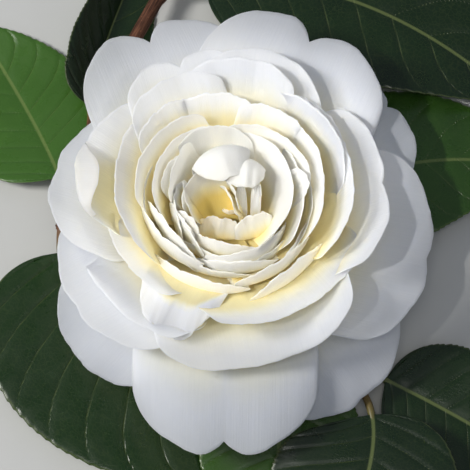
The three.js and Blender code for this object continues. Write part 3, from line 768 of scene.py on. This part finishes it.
class Finish:
    """A node material in the making."""

    def __init__(self, name):
        self.material = bpy.data.materials.new(name)
        self.material.use_nodes = True
        self.tree = self.material.node_tree

    def plug(self, source, target):
        """Sets an input to a number or colour, or links it to another node's output."""
        if isinstance(source, bpy.types.NodeSocket):
            self.tree.links.new(source, target)
        else:
            target.default_value = source

    def node(self, kind, inputs=None, **options):
        """A node, with its inputs given by name or place."""
        made = self.tree.nodes.new("ShaderNode" + kind)
        for key, value in options.items():
            setattr(made, key, value)
        for key, value in (inputs or {}).items():
            self.plug(value, made.inputs[key])
        return made

    def math(self, operation, a, b=0.0):
        """The result of a sum on two numbers or outputs."""
        return self.node("Math", {0: a, 1: b}, operation=operation).outputs[0]

    def times(self, a, b):
        """The product of two numbers or outputs."""
        return self.math("MULTIPLY", a, b)

    def wander(self, value, noise, amount):
        """A value that wanders up and down with a noise pattern, by the amount in all."""
        return self.math("ADD", value, self.times(self.math("SUBTRACT", noise, 0.5), amount))

    def between(self, value, low, high, to_low=0.0, to_high=1.0):
        """A smooth step of a value."""
        inputs = {0: value, 1: low, 2: high, 3: to_low, 4: to_high}
        return self.node("MapRange", inputs, interpolation_type="SMOOTHSTEP").outputs[0]

    def mix(self, share, a, b, strength=1, blend="MIX"):
        """A blend of two colours, at most of the given strength."""
        if strength < 1:
            share = self.times(share, strength)
        made = self.node("Mix", {0: share, 6: solid(a), 7: solid(b)}, data_type="RGBA", blend_type=blend)
        return made.outputs[2]

    def value(self, name):
        """A number that the mesh carries."""
        return self.node("Attribute", attribute_name=name).outputs["Fac"]

    def object_space(self):
        """The piece's own coordinates, in metres."""
        return self.node("TexCoord").outputs["Object"]

    def blade_space(self, across, along):
        """Coordinates on a blade or a tube, stretched as asked."""
        places = self.node("UVMap", uv_map="BladeSpace").outputs[0]
        return self.node("Mapping", {"Vector": places, "Scale": (across, along, 1)}).outputs[0]

    def noise(self, scale, detail, roughness=0.55, space=None):
        """A noise pattern in the piece's own coordinates, or in others."""
        vector = self.object_space() if space is None else space
        inputs = {"Vector": vector, "Scale": scale, "Detail": detail, "Roughness": roughness}
        return self.node("TexNoise", inputs).outputs[0]

    def streaks(self, across, along, detail, roughness=0.6):
        """A noise pattern stretched along a blade or a tube."""
        return self.noise(1.0, detail, roughness, self.blade_space(across, along))

    def ramp(self, value, stops):
        """A colour ramp through (place, colour) stops."""
        made = self.node("ValToRGB", {0: value})
        band = made.color_ramp
        while len(band.elements) < len(stops):
            band.elements.new(0.5)
        for element, (place, colour) in zip(band.elements, stops):
            element.position = place
            element.color = solid(colour)
        return made.outputs[0]

    def bump(self, height, strength, distance, below=None):
        """A bump from a height, on top of another bump."""
        inputs = {"Height": height, "Strength": strength, "Distance": distance}
        if below is not None:
            inputs["Normal"] = below
        return self.node("Bump", inputs).outputs[0]

    def done(self, colour, roughness, relief=None, more=None):
        """The material, with its colour, roughness and bump, and more of its shader's inputs by name."""
        inputs = {"Base Color": colour, "Roughness": roughness, **(more or {})}
        if relief is not None:
            inputs["Normal"] = relief
        for name, source in inputs.items():
            self.plug(source, self.tree.nodes["Principled BSDF"].inputs[name])
        return self.material


def solid(colour):
    """A colour with full opacity, or an output as it is."""
    return colour if isinstance(colour, bpy.types.NodeSocket) else (*colour, 1)


def scaled(colour, factor):
    """A colour made darker or lighter."""
    return [min(1, part * factor) for part in colour]


def petal_finish(name, settings, white, glow):
    """White petal skin: fine lengthwise veins, cream to gold towards the foot, partly painted warm glow, a
    little see-through.
    """
    f = Finish(name)
    # The warmth runs from the rim's white to gold at the foot, partly painted warm glow; lower faces take
    # less of it.
    outside = f.between(f.value("underside"), 0.2, 0.8, 1.0, 0.8)
    warmth = f.wander(f.times(f.value("gold"), outside), f.noise(60, 3), 0.08)
    stops = [(0, white), (0.25, settings.cream), (0.6, settings.yellow), (1, settings.gold)]
    colour = f.ramp(warmth, stops)
    streaks = f.streaks(95, 2.2, 6)
    colour = f.mix(f.between(streaks, 0.38, 0.66), colour, (0.80, 0.82, 0.86), 0.12, "MULTIPLY")
    cells = f.noise(900, 2, 0.6)
    colour = f.mix(cells, colour, (0.80, 0.82, 0.90), 0.05, "MULTIPLY")
    ridges = f.bump(streaks, 0.36, 0.00022)
    ridges = f.bump(f.streaks(260, 9, 3), 0.25, 0.0001, ridges)
    ridges = f.bump(cells, 0.18, 0.00008, ridges)
    roughness = f.between(f.noise(240, 3), 0.3, 0.7, 0.46, 0.6)
    return f.done(colour, roughness, ridges, {
        "Specular IOR Level": 0.32, "Sheen Weight": 0.12, "Sheen Roughness": 0.5,
        "Subsurface Weight": glow, "Subsurface Radius": (1.0, 0.9, 0.7), "Subsurface Scale": 0.005,
    })


def leaf_finish(settings):
    """Leaf skin: dark glossy green with pale veins above, paler and duller below, with painted light and
    shade.
    """
    f = Finish("leaf_green")
    away, underside = f.value("away"), f.value("underside")
    # Each leaf's green comes from its tone, which is partly its own green and partly painted light and shade.
    shade = f.wander(f.value("tone_and_light"), f.noise(45, 4), 0.35)
    green = f.ramp(shade, [(0, settings.deep), (0.4, settings.green), (1, settings.bright)])
    cells = {"Vector": f.blade_space(80, 80), "Scale": 1.0, "Randomness": 0.9}
    net = f.node("TexVoronoi", cells, feature="DISTANCE_TO_EDGE").outputs[0]
    net_line = f.between(net, 0.0, 0.09, 1.0, 0.0)
    rib_line = f.between(f.value("rib"), 0.0, 0.045, 1.0, 0.0)
    rib_line = f.times(rib_line, f.between(away, 0.97, 0.8))
    midrib_line = f.between(f.value("midrib"), 0.25, 0.75, 1.0, 0.0)
    # A pale line along the margin: partly the edge's own paler colour, partly a painted highlight along the
    # glossy edge.
    margin_and_highlight_line = f.between(away, 0.972, 0.992)
    for line, strength in ((net_line, 0.035), (rib_line, 0.16), (midrib_line, 0.36), (margin_and_highlight_line, 0.15)):
        green = f.mix(line, green, settings.vein, strength)
    below = f.mix(f.math("MAXIMUM", midrib_line, rib_line), settings.under, settings.vein, 0.45)
    colour = f.mix(f.between(underside, 0.55, 0.9), green, below)
    gloss = f.between(f.noise(160, 4), 0.3, 0.7, 0.24, 0.38)
    roughness = f.math("ADD", gloss, f.between(underside, 0.55, 0.9, 0.0, 0.25))
    relief = f.bump(net_line, 0.2, -0.00006)
    relief = f.bump(rib_line, 0.5, -0.0003, relief)
    relief = f.bump(f.noise(700, 3), 0.12, 0.0001, relief)
    gloss_inputs = {"Specular IOR Level": 0.4, "Coat Weight": 0.12, "Coat Roughness": 0.2}
    return f.done(colour, roughness, relief, gloss_inputs)


def bark_finish(name, dark, light, grooves, roughness):
    """Bark with lengthwise cracks and small pale pores."""
    f = Finish(name)
    grain = f.streaks(0.12, grooves, 6, 0.65)
    colour = f.mix(f.between(grain, 0.35, 0.68), dark, light)
    colour = f.mix(f.between(f.noise(180, 4), 0.35, 0.75, 0.0, 0.5), colour, scaled(dark, 0.55))
    pores = f.node("TexVoronoi", {"Vector": f.object_space(), "Scale": 620.0}).outputs["Distance"]
    pore = f.between(pores, 0.10, 0.2, 1.0, 0.0)
    colour = f.mix(pore, colour, scaled(light, 1.7), 0.5)
    relief = f.bump(pore, 0.5, 0.0002, f.bump(grain, 0.8, 0.0004))
    worn = f.between(grain, 0.2, 0.8, roughness, roughness - 0.18)
    return f.done(colour, worn, relief, {"Specular IOR Level": 0.3})


def petiole_finish():
    """A petiole: olive green, red-brown where it leaves the twig."""
    f = Finish("petiole_olive")
    run = f.node("SeparateXYZ", {0: f.blade_space(1, 1)}).outputs[0]
    speckle = f.noise(400, 3)
    share = f.math("ADD", run, f.times(speckle, 0.02))
    stops = [(0, (0.16, 0.045, 0.02)), (0.05, (0.16, 0.10, 0.03)), (0.16, (0.13, 0.16, 0.05))]
    colour = f.ramp(share, stops)
    roughness = f.between(speckle, 0.3, 0.7, 0.38, 0.5)
    return f.done(colour, roughness, f.bump(speckle, 0.3, 0.0001))


def wood_finish():
    """Freshly cut wood: pale, with growth rings round a darker pith."""
    f = Finish("cut_wood")
    pith = AXIS + Vector(TWIG_PATH[0]) * MM
    rays = f.noise(2400, 4)
    away = f.node("VectorMath", {0: f.object_space(), 1: pith}, operation="DISTANCE").outputs["Value"]
    wobble = f.math("ADD", away, f.times(rays, 0.0002))
    ring = f.math("SINE", f.times(wobble, 2 * math.pi / RING_SPACING))
    colour = f.ramp(rays, [(0.3, (0.50, 0.36, 0.20)), (0.7, (0.72, 0.58, 0.38))])
    colour = f.mix(f.between(ring, 0.2, 1.0, 0.0, 0.45), colour, (0.36, 0.23, 0.12))
    colour = f.mix(f.between(away, 0.0003, 0.0005, 0.8, 0.0), colour, (0.20, 0.11, 0.05))
    colour = f.mix(f.between(away, 0.0018, 0.0021), colour, (0.16, 0.14, 0.05))
    roughness = f.between(rays, 0.3, 0.7, 0.7, 0.85)
    return f.done(colour, roughness, f.bump(rays, 0.4, 0.0001))


def scale_finish(name, base, edge):
    """Bud scales: downy, with a thin dry margin."""
    f = Finish(name)
    down = f.streaks(60, 3, 5)
    rim = f.between(f.value("from_rim"), 0.2, 1.6, 1.0, 0.0)
    colour = f.mix(f.between(f.noise(260, 3), 0.35, 0.7), base, scaled(base, 0.7))
    colour = f.mix(down, colour, edge, 0.25)
    colour = f.mix(rim, colour, edge, 0.7)
    roughness = f.between(down, 0.3, 0.7, 0.55, 0.75)
    relief = f.bump(down, 0.4, 0.0002)
    return f.done(colour, roughness, relief, {"Sheen Weight": 0.25})


# Settings


def colour_setting(name, description, default):
    """A colour that a user can change."""
    return bpy.props.FloatVectorProperty(
        name=name, description=description, default=default, size=3, min=0, max=1, subtype="COLOR"
    )


def number_setting(name, description, default, **options):
    """A number that a user can change."""
    return bpy.props.FloatProperty(name=name, description=description, default=default, **options)


class PetalSettings(bpy.types.PropertyGroup):
    """Sizes and colours of the bloom."""

    thickness: number_setting(
        "Thickness", "Thickness of a petal near its foot, in millimetres", USUAL_THICKNESS, min=0.1, max=1
    )
    glow: number_setting(
        "Glow", "How much light soaks through a broad petal", 0.6, subtype="FACTOR", min=0, max=1
    )
    inner_glow: number_setting(
        "Inner glow", "How much light soaks through an inner petal", 0.45, subtype="FACTOR", min=0, max=1
    )
    # The broad petals' white is tinted blue as painted sky shade, and the inner petals' white is tinted cream
    # as painted warm glow, over the petals' own white.
    white: colour_setting("White", "Colour of a petal's rim", (0.925, 0.935, 0.965))
    inner_white: colour_setting("Inner white", "Colour of an inner petal's rim", (0.97, 0.96, 0.915))
    # Cream, yellow and gold run towards a petal's foot: partly its own yellow base, partly painted warm glow
    # deep in the bloom.
    cream: colour_setting("Cream", "Colour of a petal below its rim", (0.96, 0.935, 0.79))
    yellow: colour_setting("Yellow", "Colour of a petal's lower half", (0.96, 0.85, 0.48))
    gold: colour_setting("Gold", "Colour of a petal's foot", (0.92, 0.69, 0.19))


class LeafSettings(bpy.types.PropertyGroup):
    """Sizes and colours of the leaves."""

    thickness: number_setting("Thickness", "Thickness of a blade, in millimetres", 0.5, min=0.2, max=1.5)
    teeth: number_setting("Teeth", "Depth of the margin's teeth, in millimetres", 0.4, min=0, max=2)
    vein_count: bpy.props.IntProperty(
        name="Side veins", description="Side veins along each half of a blade", default=8, min=3, max=16
    )
    # The deepest greens also serve as painted shade on leaves in shadow, and the brightest as painted light.
    deep: colour_setting("Deep green", "Colour of the darkest blades", (0.006, 0.017, 0.006))
    green: colour_setting("Green", "Colour of most blades", (0.010, 0.034, 0.005))
    bright: colour_setting("Bright green", "Colour of the youngest blades", (0.05, 0.135, 0.018))
    # The veins' colour also paints the pale line and highlight along the margin.
    vein: colour_setting("Veins", "Colour of the veins and the margin", (0.30, 0.36, 0.12))
    under: colour_setting("Underside", "Colour of a blade's underside", (0.10, 0.16, 0.06))


class TwigSettings(bpy.types.PropertyGroup):
    """Colours of the twig and the shoot."""

    bark_dark: colour_setting("Dark bark", "Colour in the bark's cracks", (0.055, 0.022, 0.013))
    bark_light: colour_setting("Light bark", "Colour on the bark's ridges", (0.23, 0.095, 0.05))
    young_dark: colour_setting("Dark young bark", "Colour in the shoot's grooves", (0.10, 0.075, 0.025))
    young_light: colour_setting("Light young bark", "Colour on the shoot's ridges", (0.24, 0.19, 0.07))


class StageSettings(bpy.types.PropertyGroup):
    """The floor, the lights and the camera."""

    floor: colour_setting("Floor", "Colour of the floor", (0.62, 0.62, 0.60))
    key: number_setting("Key light", "Power of the main light", 4.6, min=0, unit="POWER")
    heart: number_setting("Heart light", "Power of the soft spot on the heart", 38, min=0, unit="POWER")
    warm: number_setting("Warm light", "Power of the warm spot beside it", 16, min=0, unit="POWER")
    sky: number_setting("Sky", "Strength of the light from all round", 0.24, min=0)
    distance: number_setting("Distance", "From the camera to the bloom", 0.52, min=0.1, unit="LENGTH")
    width: number_setting("View width", "Width of the view at the bloom", 0.1269, min=0.02, unit="LENGTH")
    elevation: number_setting(
        "Elevation", "How far the camera looks down", math.radians(68), subtype="ANGLE", unit="ROTATION"
    )


# Operators


class Builder:
    """What all the operators share."""

    bl_options = {"REGISTER", "UNDO"}


class PetalRing(Builder):
    """What the operators for the rings of petals share."""

    ring = ""
    first = last = 0
    lines = columns = 0

    def execute(self, context):
        settings = context.scene.camellia_petals
        # Inner and heart petals take the cream-tinted white, painted warm glow; the rest take the blue-tinted
        # white, painted sky shade.
        name, white, glow = "petal_white", settings.white, settings.glow
        if self.ring in ("inner", "heart"):
            name, white, glow = "inner_petal_white", settings.inner_white, settings.inner_glow
        skin = bpy.data.materials.get(name) or petal_finish(name, settings, white, glow)
        for number, petal in enumerate(PETALS[self.first : self.last], 1):
            name = f"{self.ring}_petal_{number}"
            mesh = petal_mesh(name, petal, settings, self.lines, self.columns)
            new_piece(name, mesh, "petal", "bloom", skin)
        return {"FINISHED"}


class CAMELLIA_OT_guard_petals(PetalRing, bpy.types.Operator):
    """Build the broad, spreading petals at the bloom's outside"""

    bl_idname = "camellia.guard_petals"
    bl_label = "Guard petals"
    ring, first, last, lines, columns = "guard", 0, 9, 44, 57


class CAMELLIA_OT_outer_petals(PetalRing, bpy.types.Operator):
    """Build the ring of cupped petals inside the guard petals"""

    bl_idname = "camellia.outer_petals"
    bl_label = "Outer petals"
    ring, first, last, lines, columns = "outer", 9, 17, 40, 53


class CAMELLIA_OT_middle_petals(PetalRing, bpy.types.Operator):
    """Build the upright petals half-way in"""

    bl_idname = "camellia.middle_petals"
    bl_label = "Middle petals"
    ring, first, last, lines, columns = "middle", 17, 27, 38, 49


class CAMELLIA_OT_inner_petals(PetalRing, bpy.types.Operator):
    """Build the small upright petals round the heart"""

    bl_idname = "camellia.inner_petals"
    bl_label = "Inner petals"
    ring, first, last, lines, columns = "inner", 27, 44, 34, 41


class CAMELLIA_OT_heart_petals(PetalRing, bpy.types.Operator):
    """Build the crumpled petals in the heart"""

    bl_idname = "camellia.heart_petals"
    bl_label = "Heart petals"
    ring, first, last, lines, columns = "heart", 44, len(PETALS), 28, 29


# The stalk widens into the receptacle. Its foot is this far over the shoot's middle, and then come heights
# over the foot and the radius at each, in mm.
STALK_FOOT = 1.0
STALK_RISE = [0.0, 0.5, 1.5, 2.6, 3.6, 4.6, 5.6, 6.6, 7.4, 8.2, 8.8]
STALK_RADIUS = [2.2, 2.3, 2.4, 2.5, 2.9, 4.0, 6.0, 7.6, 7.6, 6.0, 2.5]
STALK_SIDES = 32
# The scales are made as small petals, in two rings.
SCALE = {
    "lift": 24, "flare": 62, "cup": 9, "rounding": 0.36, "claw": 0.62, "notch": 0.03, "curl": 0.1,
    "roll": -7, "ruffle": 0.1, "crinkle": 0.1,
}
SCALE_RINGS = [
    {"seat_radius": 2.6, "seat_rise": -18, "reach": 8.2, "rise": -14.6, "width": 8},
    {"seat_radius": 4.2, "seat_rise": -17.2, "reach": 10.6, "rise": -12.9, "width": 10.5},
]
SCALES_IN_RING = 5
SCALE_LINES, SCALE_COLUMNS, SCALE_THICKNESS, FIRST_SCALE_SEED = 22, 25, 0.7, 301
SCALE_GREEN, SCALE_EDGE = (0.13, 0.15, 0.045), (0.30, 0.24, 0.10)


class CAMELLIA_OT_calyx(Builder, bpy.types.Operator):
    """Build the stalk, the receptacle and the overlapping scales under the bloom"""

    bl_idname = "camellia.calyx"
    bl_label = "Calyx"

    def execute(self, context):
        green = scale_finish("sepal_green", SCALE_GREEN, SCALE_EDGE)
        line = UP * (SHOOT_HEIGHT + STALK_FOOT + np.array(STALK_RISE))[:, None]
        stalk = tube_mesh("calyx_stalk", *tube_parts(line, STALK_RADIUS, STALK_SIDES, upright=True)[:3])
        new_piece("calyx_stalk", stalk, "sepal", "calyx", green)
        across = np.sin(math.pi / 2 * np.linspace(-1, 1, SCALE_COLUMNS))
        u, v = np.meshgrid(np.linspace(0, 1, SCALE_LINES), across, indexing="ij")
        step = 360 / SCALES_IN_RING
        for number in range(SCALES_IN_RING * len(SCALE_RINGS)):
            ring, place = divmod(number, SCALES_IN_RING)
            turned_on = {"at": step * (place + ring / 2), "seed": FIRST_SCALE_SEED + number}
            grid = petal_surface({**SCALE, **SCALE_RINGS[ring], **turned_on}, u, v)
            run = run_along(grid)
            space = np.stack([v * 0.5 + 0.5, run / run.max()], -1)
            name = f"calyx_scale_{number + 1}"
            thickness = SCALE_THICKNESS * (1 - 0.5 * u)
            mesh = blade_mesh(name, grid, thickness, space, {"from_rim": run[-1:] - run})
            new_piece(name, mesh, "sepal", "calyx", green)
        return {"FINISHED"}


def knot(along, place, width):
    """A swelling round a place on a limb."""
    return np.exp(-(((along - place) / width) ** 2))


# Leaf scars: places along the twig in mm with the side that each faces in radians, and along the shoot.
TWIG_KNOTS = ((14, 0.4), (31, 2.9), (52, 1.2), (69, 3.4), (84, 0.2), (97, 2.2))
SHOOT_KNOTS = (22, 41, 62, 80, 97)
# The limbs are drawn this much thinner in mm, which leaves room for their bark's ridges.
TWIG_ROOM, SHOOT_ROOM = 0.1, 0.08
TWIG_STEPS, TWIG_SIDES, SHOOT_STEPS, SHOOT_SIDES = 260, 40, 220, 32
# The shoot swells where it leaves the twig, by so much in mm over such a share of its length.
FORK_SWELL, FORK_LENGTH = 0.7, 0.03
# No point of the twig is lower than this, in mm.
FLOOR_CLEARANCE = 0.02


def twig_swell(along, turn):
    """The leaf scars, cracks and ridges of the twig's bark."""
    knots = sum(
        0.55 * knot(along, place, 1.5) * (0.6 + 0.4 * np.cos(turn - facing)) for place, facing in TWIG_KNOTS
    )
    cracks = 0.07 * np.sin(9 * turn + 0.6 * np.sin(along * 0.35)) * (0.6 + 0.4 * np.sin(along * 0.9))
    return knots + cracks + 0.05 * np.sin(17 * turn + along * 0.22)


def shoot_swell(along, turn):
    """The knots and faint grooves of the shoot's skin."""
    knots = sum(0.4 * knot(along, place, 1.3) for place in SHOOT_KNOTS)
    return knots + 0.04 * np.sin(7 * turn + along * 0.15)


class CAMELLIA_OT_twig(Builder, bpy.types.Operator):
    """Build the woody twig, with its cut end, leaf scars and cracked bark"""

    bl_idname = "camellia.twig"
    bl_label = "Twig"

    def execute(self, context):
        settings = context.scene.camellia_twig
        line = catmull_rom(TWIG_PATH, TWIG_STEPS)
        radius = limb_radius("twig", np.linspace(0, 1, TWIG_STEPS)) - TWIG_ROOM
        points, faces, space, around, cap = tube_parts(line, radius, TWIG_SIDES, twig_swell)
        points[:, 2] = np.maximum(points[:, 2], FLOOR_CLEARANCE)
        slots = [0] * around + [1] * cap + [0] * cap
        mesh = tube_mesh("twig_bark", points, faces, space, slots=slots)
        bark = bark_finish("bark_brown", settings.bark_dark, settings.bark_light, 26, 0.78)
        new_piece("twig_bark", mesh, "bark", "twig", bark, wood_finish())
        return {"FINISHED"}


class CAMELLIA_OT_shoot(Builder, bpy.types.Operator):
    """Build the young shoot that carries the bloom"""

    bl_idname = "camellia.shoot"
    bl_label = "Shoot"

    def execute(self, context):
        settings = context.scene.camellia_twig
        line = catmull_rom(SHOOT_PATH, SHOOT_STEPS)
        run = np.linspace(0, 1, SHOOT_STEPS)
        radius = limb_radius("shoot", run) - SHOOT_ROOM
        radius = radius + FORK_SWELL * knot(run, 0, FORK_LENGTH)
        mesh = tube_mesh("shoot_skin", *tube_parts(line, radius, SHOOT_SIDES, shoot_swell)[:3])
        bark = bark_finish("young_bark", settings.young_dark, settings.young_light, 14, 0.62)
        new_piece("shoot_skin", mesh, "young_bark", "shoot", bark)
        return {"FINISHED"}


class CAMELLIA_OT_leaves(Builder, bpy.types.Operator):
    """Build the leaves with their petioles"""

    bl_idname = "camellia.leaves"
    bl_label = "Leaves"

    def execute(self, context):
        settings = context.scene.camellia_leaves
        skin, stem = leaf_finish(settings), petiole_finish()
        for number, (name, leaf) in enumerate(LEAVES.items()):
            blade, petiole = leaf_mesh(name, leaf, FIRST_LEAF_SEED + number, settings)
            new_piece(name + "_blade", blade, "leaf", name, skin)
            new_piece(name + "_petiole", petiole, "leaf", name, stem)
        return {"FINISHED"}


# Half the floor's width, in metres.
FLOOR_HALF = 2.0
# Where the spots look, from the bloom's seat in mm.
HEART_PLACE = (6, 5, 10)
# The lights: the way to each from what it looks at, how far it is and how large in metres, its colour, and
# for a spot the width of its cone in degrees.
LIGHTS = {
    "key_light": {"way": (-0.86, -0.08, 0.87), "away": 0.8, "size": 0.2, "colour": (1, 0.985, 0.95)},
    "fill_light": {"way": (0, -0.3, 0.95), "away": 0.9, "size": 0.3, "colour": (1, 0.98, 0.93)},
    "heart_light": {"way": (-0.48, -0.3, 0.85), "away": 0.5, "cone": 4.8, "colour": (1, 0.985, 0.95)},
    "warm_light": {"way": (0.6, -0.25, 0.75), "away": 0.5, "cone": 4.6, "colour": (1, 0.93, 0.78)},
}
# How large the spots are, in metres.
SPOT_SIZE = 0.04
# The fill light's power as a share of the key light's.
FILL_SHARE = 0.22
SKY_BLUE = (0.75, 0.83, 1.0)
# The camera's sensor in mm, and the nearest and furthest that it sees in metres.
SENSOR_WIDTH, NEAREST, FURTHEST = 36, 0.01, 20
# The photograph's width in pixels, and how far the view's middle is right of the bloom's seat and below it.
PHOTO_WIDTH, VIEW_RIGHT, VIEW_DOWN = 470, 7, 19


class CAMELLIA_OT_stage(Builder, bpy.types.Operator):
    """Build the pale floor, the soft lights and the camera"""

    bl_idname = "camellia.stage"
    bl_label = "Stage"

    def execute(self, context):
        settings = context.scene.camellia_stage
        seat = AXIS + Vector((0, 0, BLOOM_SEAT * MM))
        heart = seat + Vector(HEART_PLACE) * MM
        self.add_floor(context, settings)
        self.add_light(context, "key_light", seat, settings.key)
        self.add_light(context, "fill_light", seat, settings.key * FILL_SHARE)
        self.add_light(context, "heart_light", heart, settings.heart)
        self.add_light(context, "warm_light", heart, settings.warm)
        context.scene.view_settings.view_transform = "Standard"
        world = bpy.data.worlds.new("studio")
        context.scene.world = world
        world.use_nodes = True
        sky = world.node_tree.nodes["Background"].inputs
        sky["Color"].default_value = solid(SKY_BLUE)
        sky["Strength"].default_value = settings.sky
        self.add_camera(context, seat, settings)
        return {"FINISHED"}

    def add_floor(self, context, settings):
        """A level pale floor."""
        mesh = bpy.data.meshes.new("floor")
        corners = [(x * FLOOR_HALF, y * FLOOR_HALF, 0) for x, y in ((-1, -1), (1, -1), (1, 1), (-1, 1))]
        mesh.from_pydata(corners, [], [(0, 1, 2, 3)])
        floor = bpy.data.objects.new("floor", mesh)
        context.scene.collection.objects.link(floor)
        f = Finish("pale_floor")
        colour = f.mix(f.noise(90, 4), scaled(settings.floor, 0.97), scaled(settings.floor, 1.03))
        mesh.materials.append(f.done(colour, 0.8))

    def add_light(self, context, name, target, power):
        """A soft light or a soft-edged spot that looks at its target."""
        row = LIGHTS[name]
        light = bpy.data.lights.new(name, "SPOT" if "cone" in row else "AREA")
        if "cone" in row:
            light.spot_size, light.spot_blend = math.radians(row["cone"]), 1.0
            light.shadow_soft_size = SPOT_SIZE
        else:
            light.size = row["size"]
        light.energy = power
        light.color = row["colour"]
        lamp = bpy.data.objects.new(name, light)
        context.scene.collection.objects.link(lamp)
        way = Vector(row["way"]).normalized()
        lamp.location = target + way * row["away"]
        lamp.rotation_euler = (-way).to_track_quat("-Z", "Y").to_euler()

    def add_camera(self, context, seat, settings):
        """The camera at the photograph's angle."""
        camera = bpy.data.cameras.new("camera")
        camera.sensor_width = SENSOR_WIDTH
        camera.lens = SENSOR_WIDTH * settings.distance / settings.width
        camera.clip_start, camera.clip_end = NEAREST, FURTHEST
        stand = bpy.data.objects.new("camera", camera)
        context.scene.collection.objects.link(stand)
        tilt = settings.elevation
        back = Vector((0, -math.cos(tilt), math.sin(tilt)))
        above = Vector((0, math.sin(tilt), math.cos(tilt)))
        pixel = settings.width / PHOTO_WIDTH
        centre = seat + Vector((VIEW_RIGHT * pixel, 0, 0)) - above * VIEW_DOWN * pixel
        stand.location = centre + back * settings.distance
        stand.rotation_euler = (-back).to_track_quat("-Z", "Y").to_euler()
        context.scene.camera = stand


OPERATORS = (
    CAMELLIA_OT_stage,
    CAMELLIA_OT_guard_petals,
    CAMELLIA_OT_outer_petals,
    CAMELLIA_OT_middle_petals,
    CAMELLIA_OT_inner_petals,
    CAMELLIA_OT_heart_petals,
    CAMELLIA_OT_calyx,
    CAMELLIA_OT_twig,
    CAMELLIA_OT_shoot,
    CAMELLIA_OT_leaves,
)


class CAMELLIA_PT_sprig(bpy.types.Panel):
    """The sprig's operators and settings"""

    bl_idname = "CAMELLIA_PT_sprig"
    bl_label = "Camellia sprig"
    bl_space_type = "VIEW_3D"
    bl_region_type = "UI"
    bl_category = "Camellia"

    def draw(self, context):
        for operator in OPERATORS:
            self.layout.operator(operator.bl_idname)
        for name in SETTINGS:
            group = getattr(context.scene, name)
            box = self.layout.box()
            for prop in group.__annotations__:
                box.prop(group, prop)


SETTINGS = {
    "camellia_petals": PetalSettings,
    "camellia_leaves": LeafSettings,
    "camellia_twig": TwigSettings,
    "camellia_stage": StageSettings,
}


def register():
    """Registers the settings, the operators and the panel."""
    for cls in (*SETTINGS.values(), *OPERATORS, CAMELLIA_PT_sprig):
        bpy.utils.register_class(cls)
    for name, cls in SETTINGS.items():
        setattr(bpy.types.Scene, name, bpy.props.PointerProperty(type=cls))


def unregister():
    """Takes them away again."""
    for name in SETTINGS:
        delattr(bpy.types.Scene, name)
    for cls in (CAMELLIA_PT_sprig, *reversed(OPERATORS), *reversed(SETTINGS.values())):
        bpy.utils.unregister_class(cls)


def main():
    """Builds the sprig and its stage."""
    register()
    for operator in OPERATORS:
        group, name = operator.bl_idname.split(".")
        getattr(getattr(bpy.ops, group), name)()


if __name__ == "__main__":
    main()
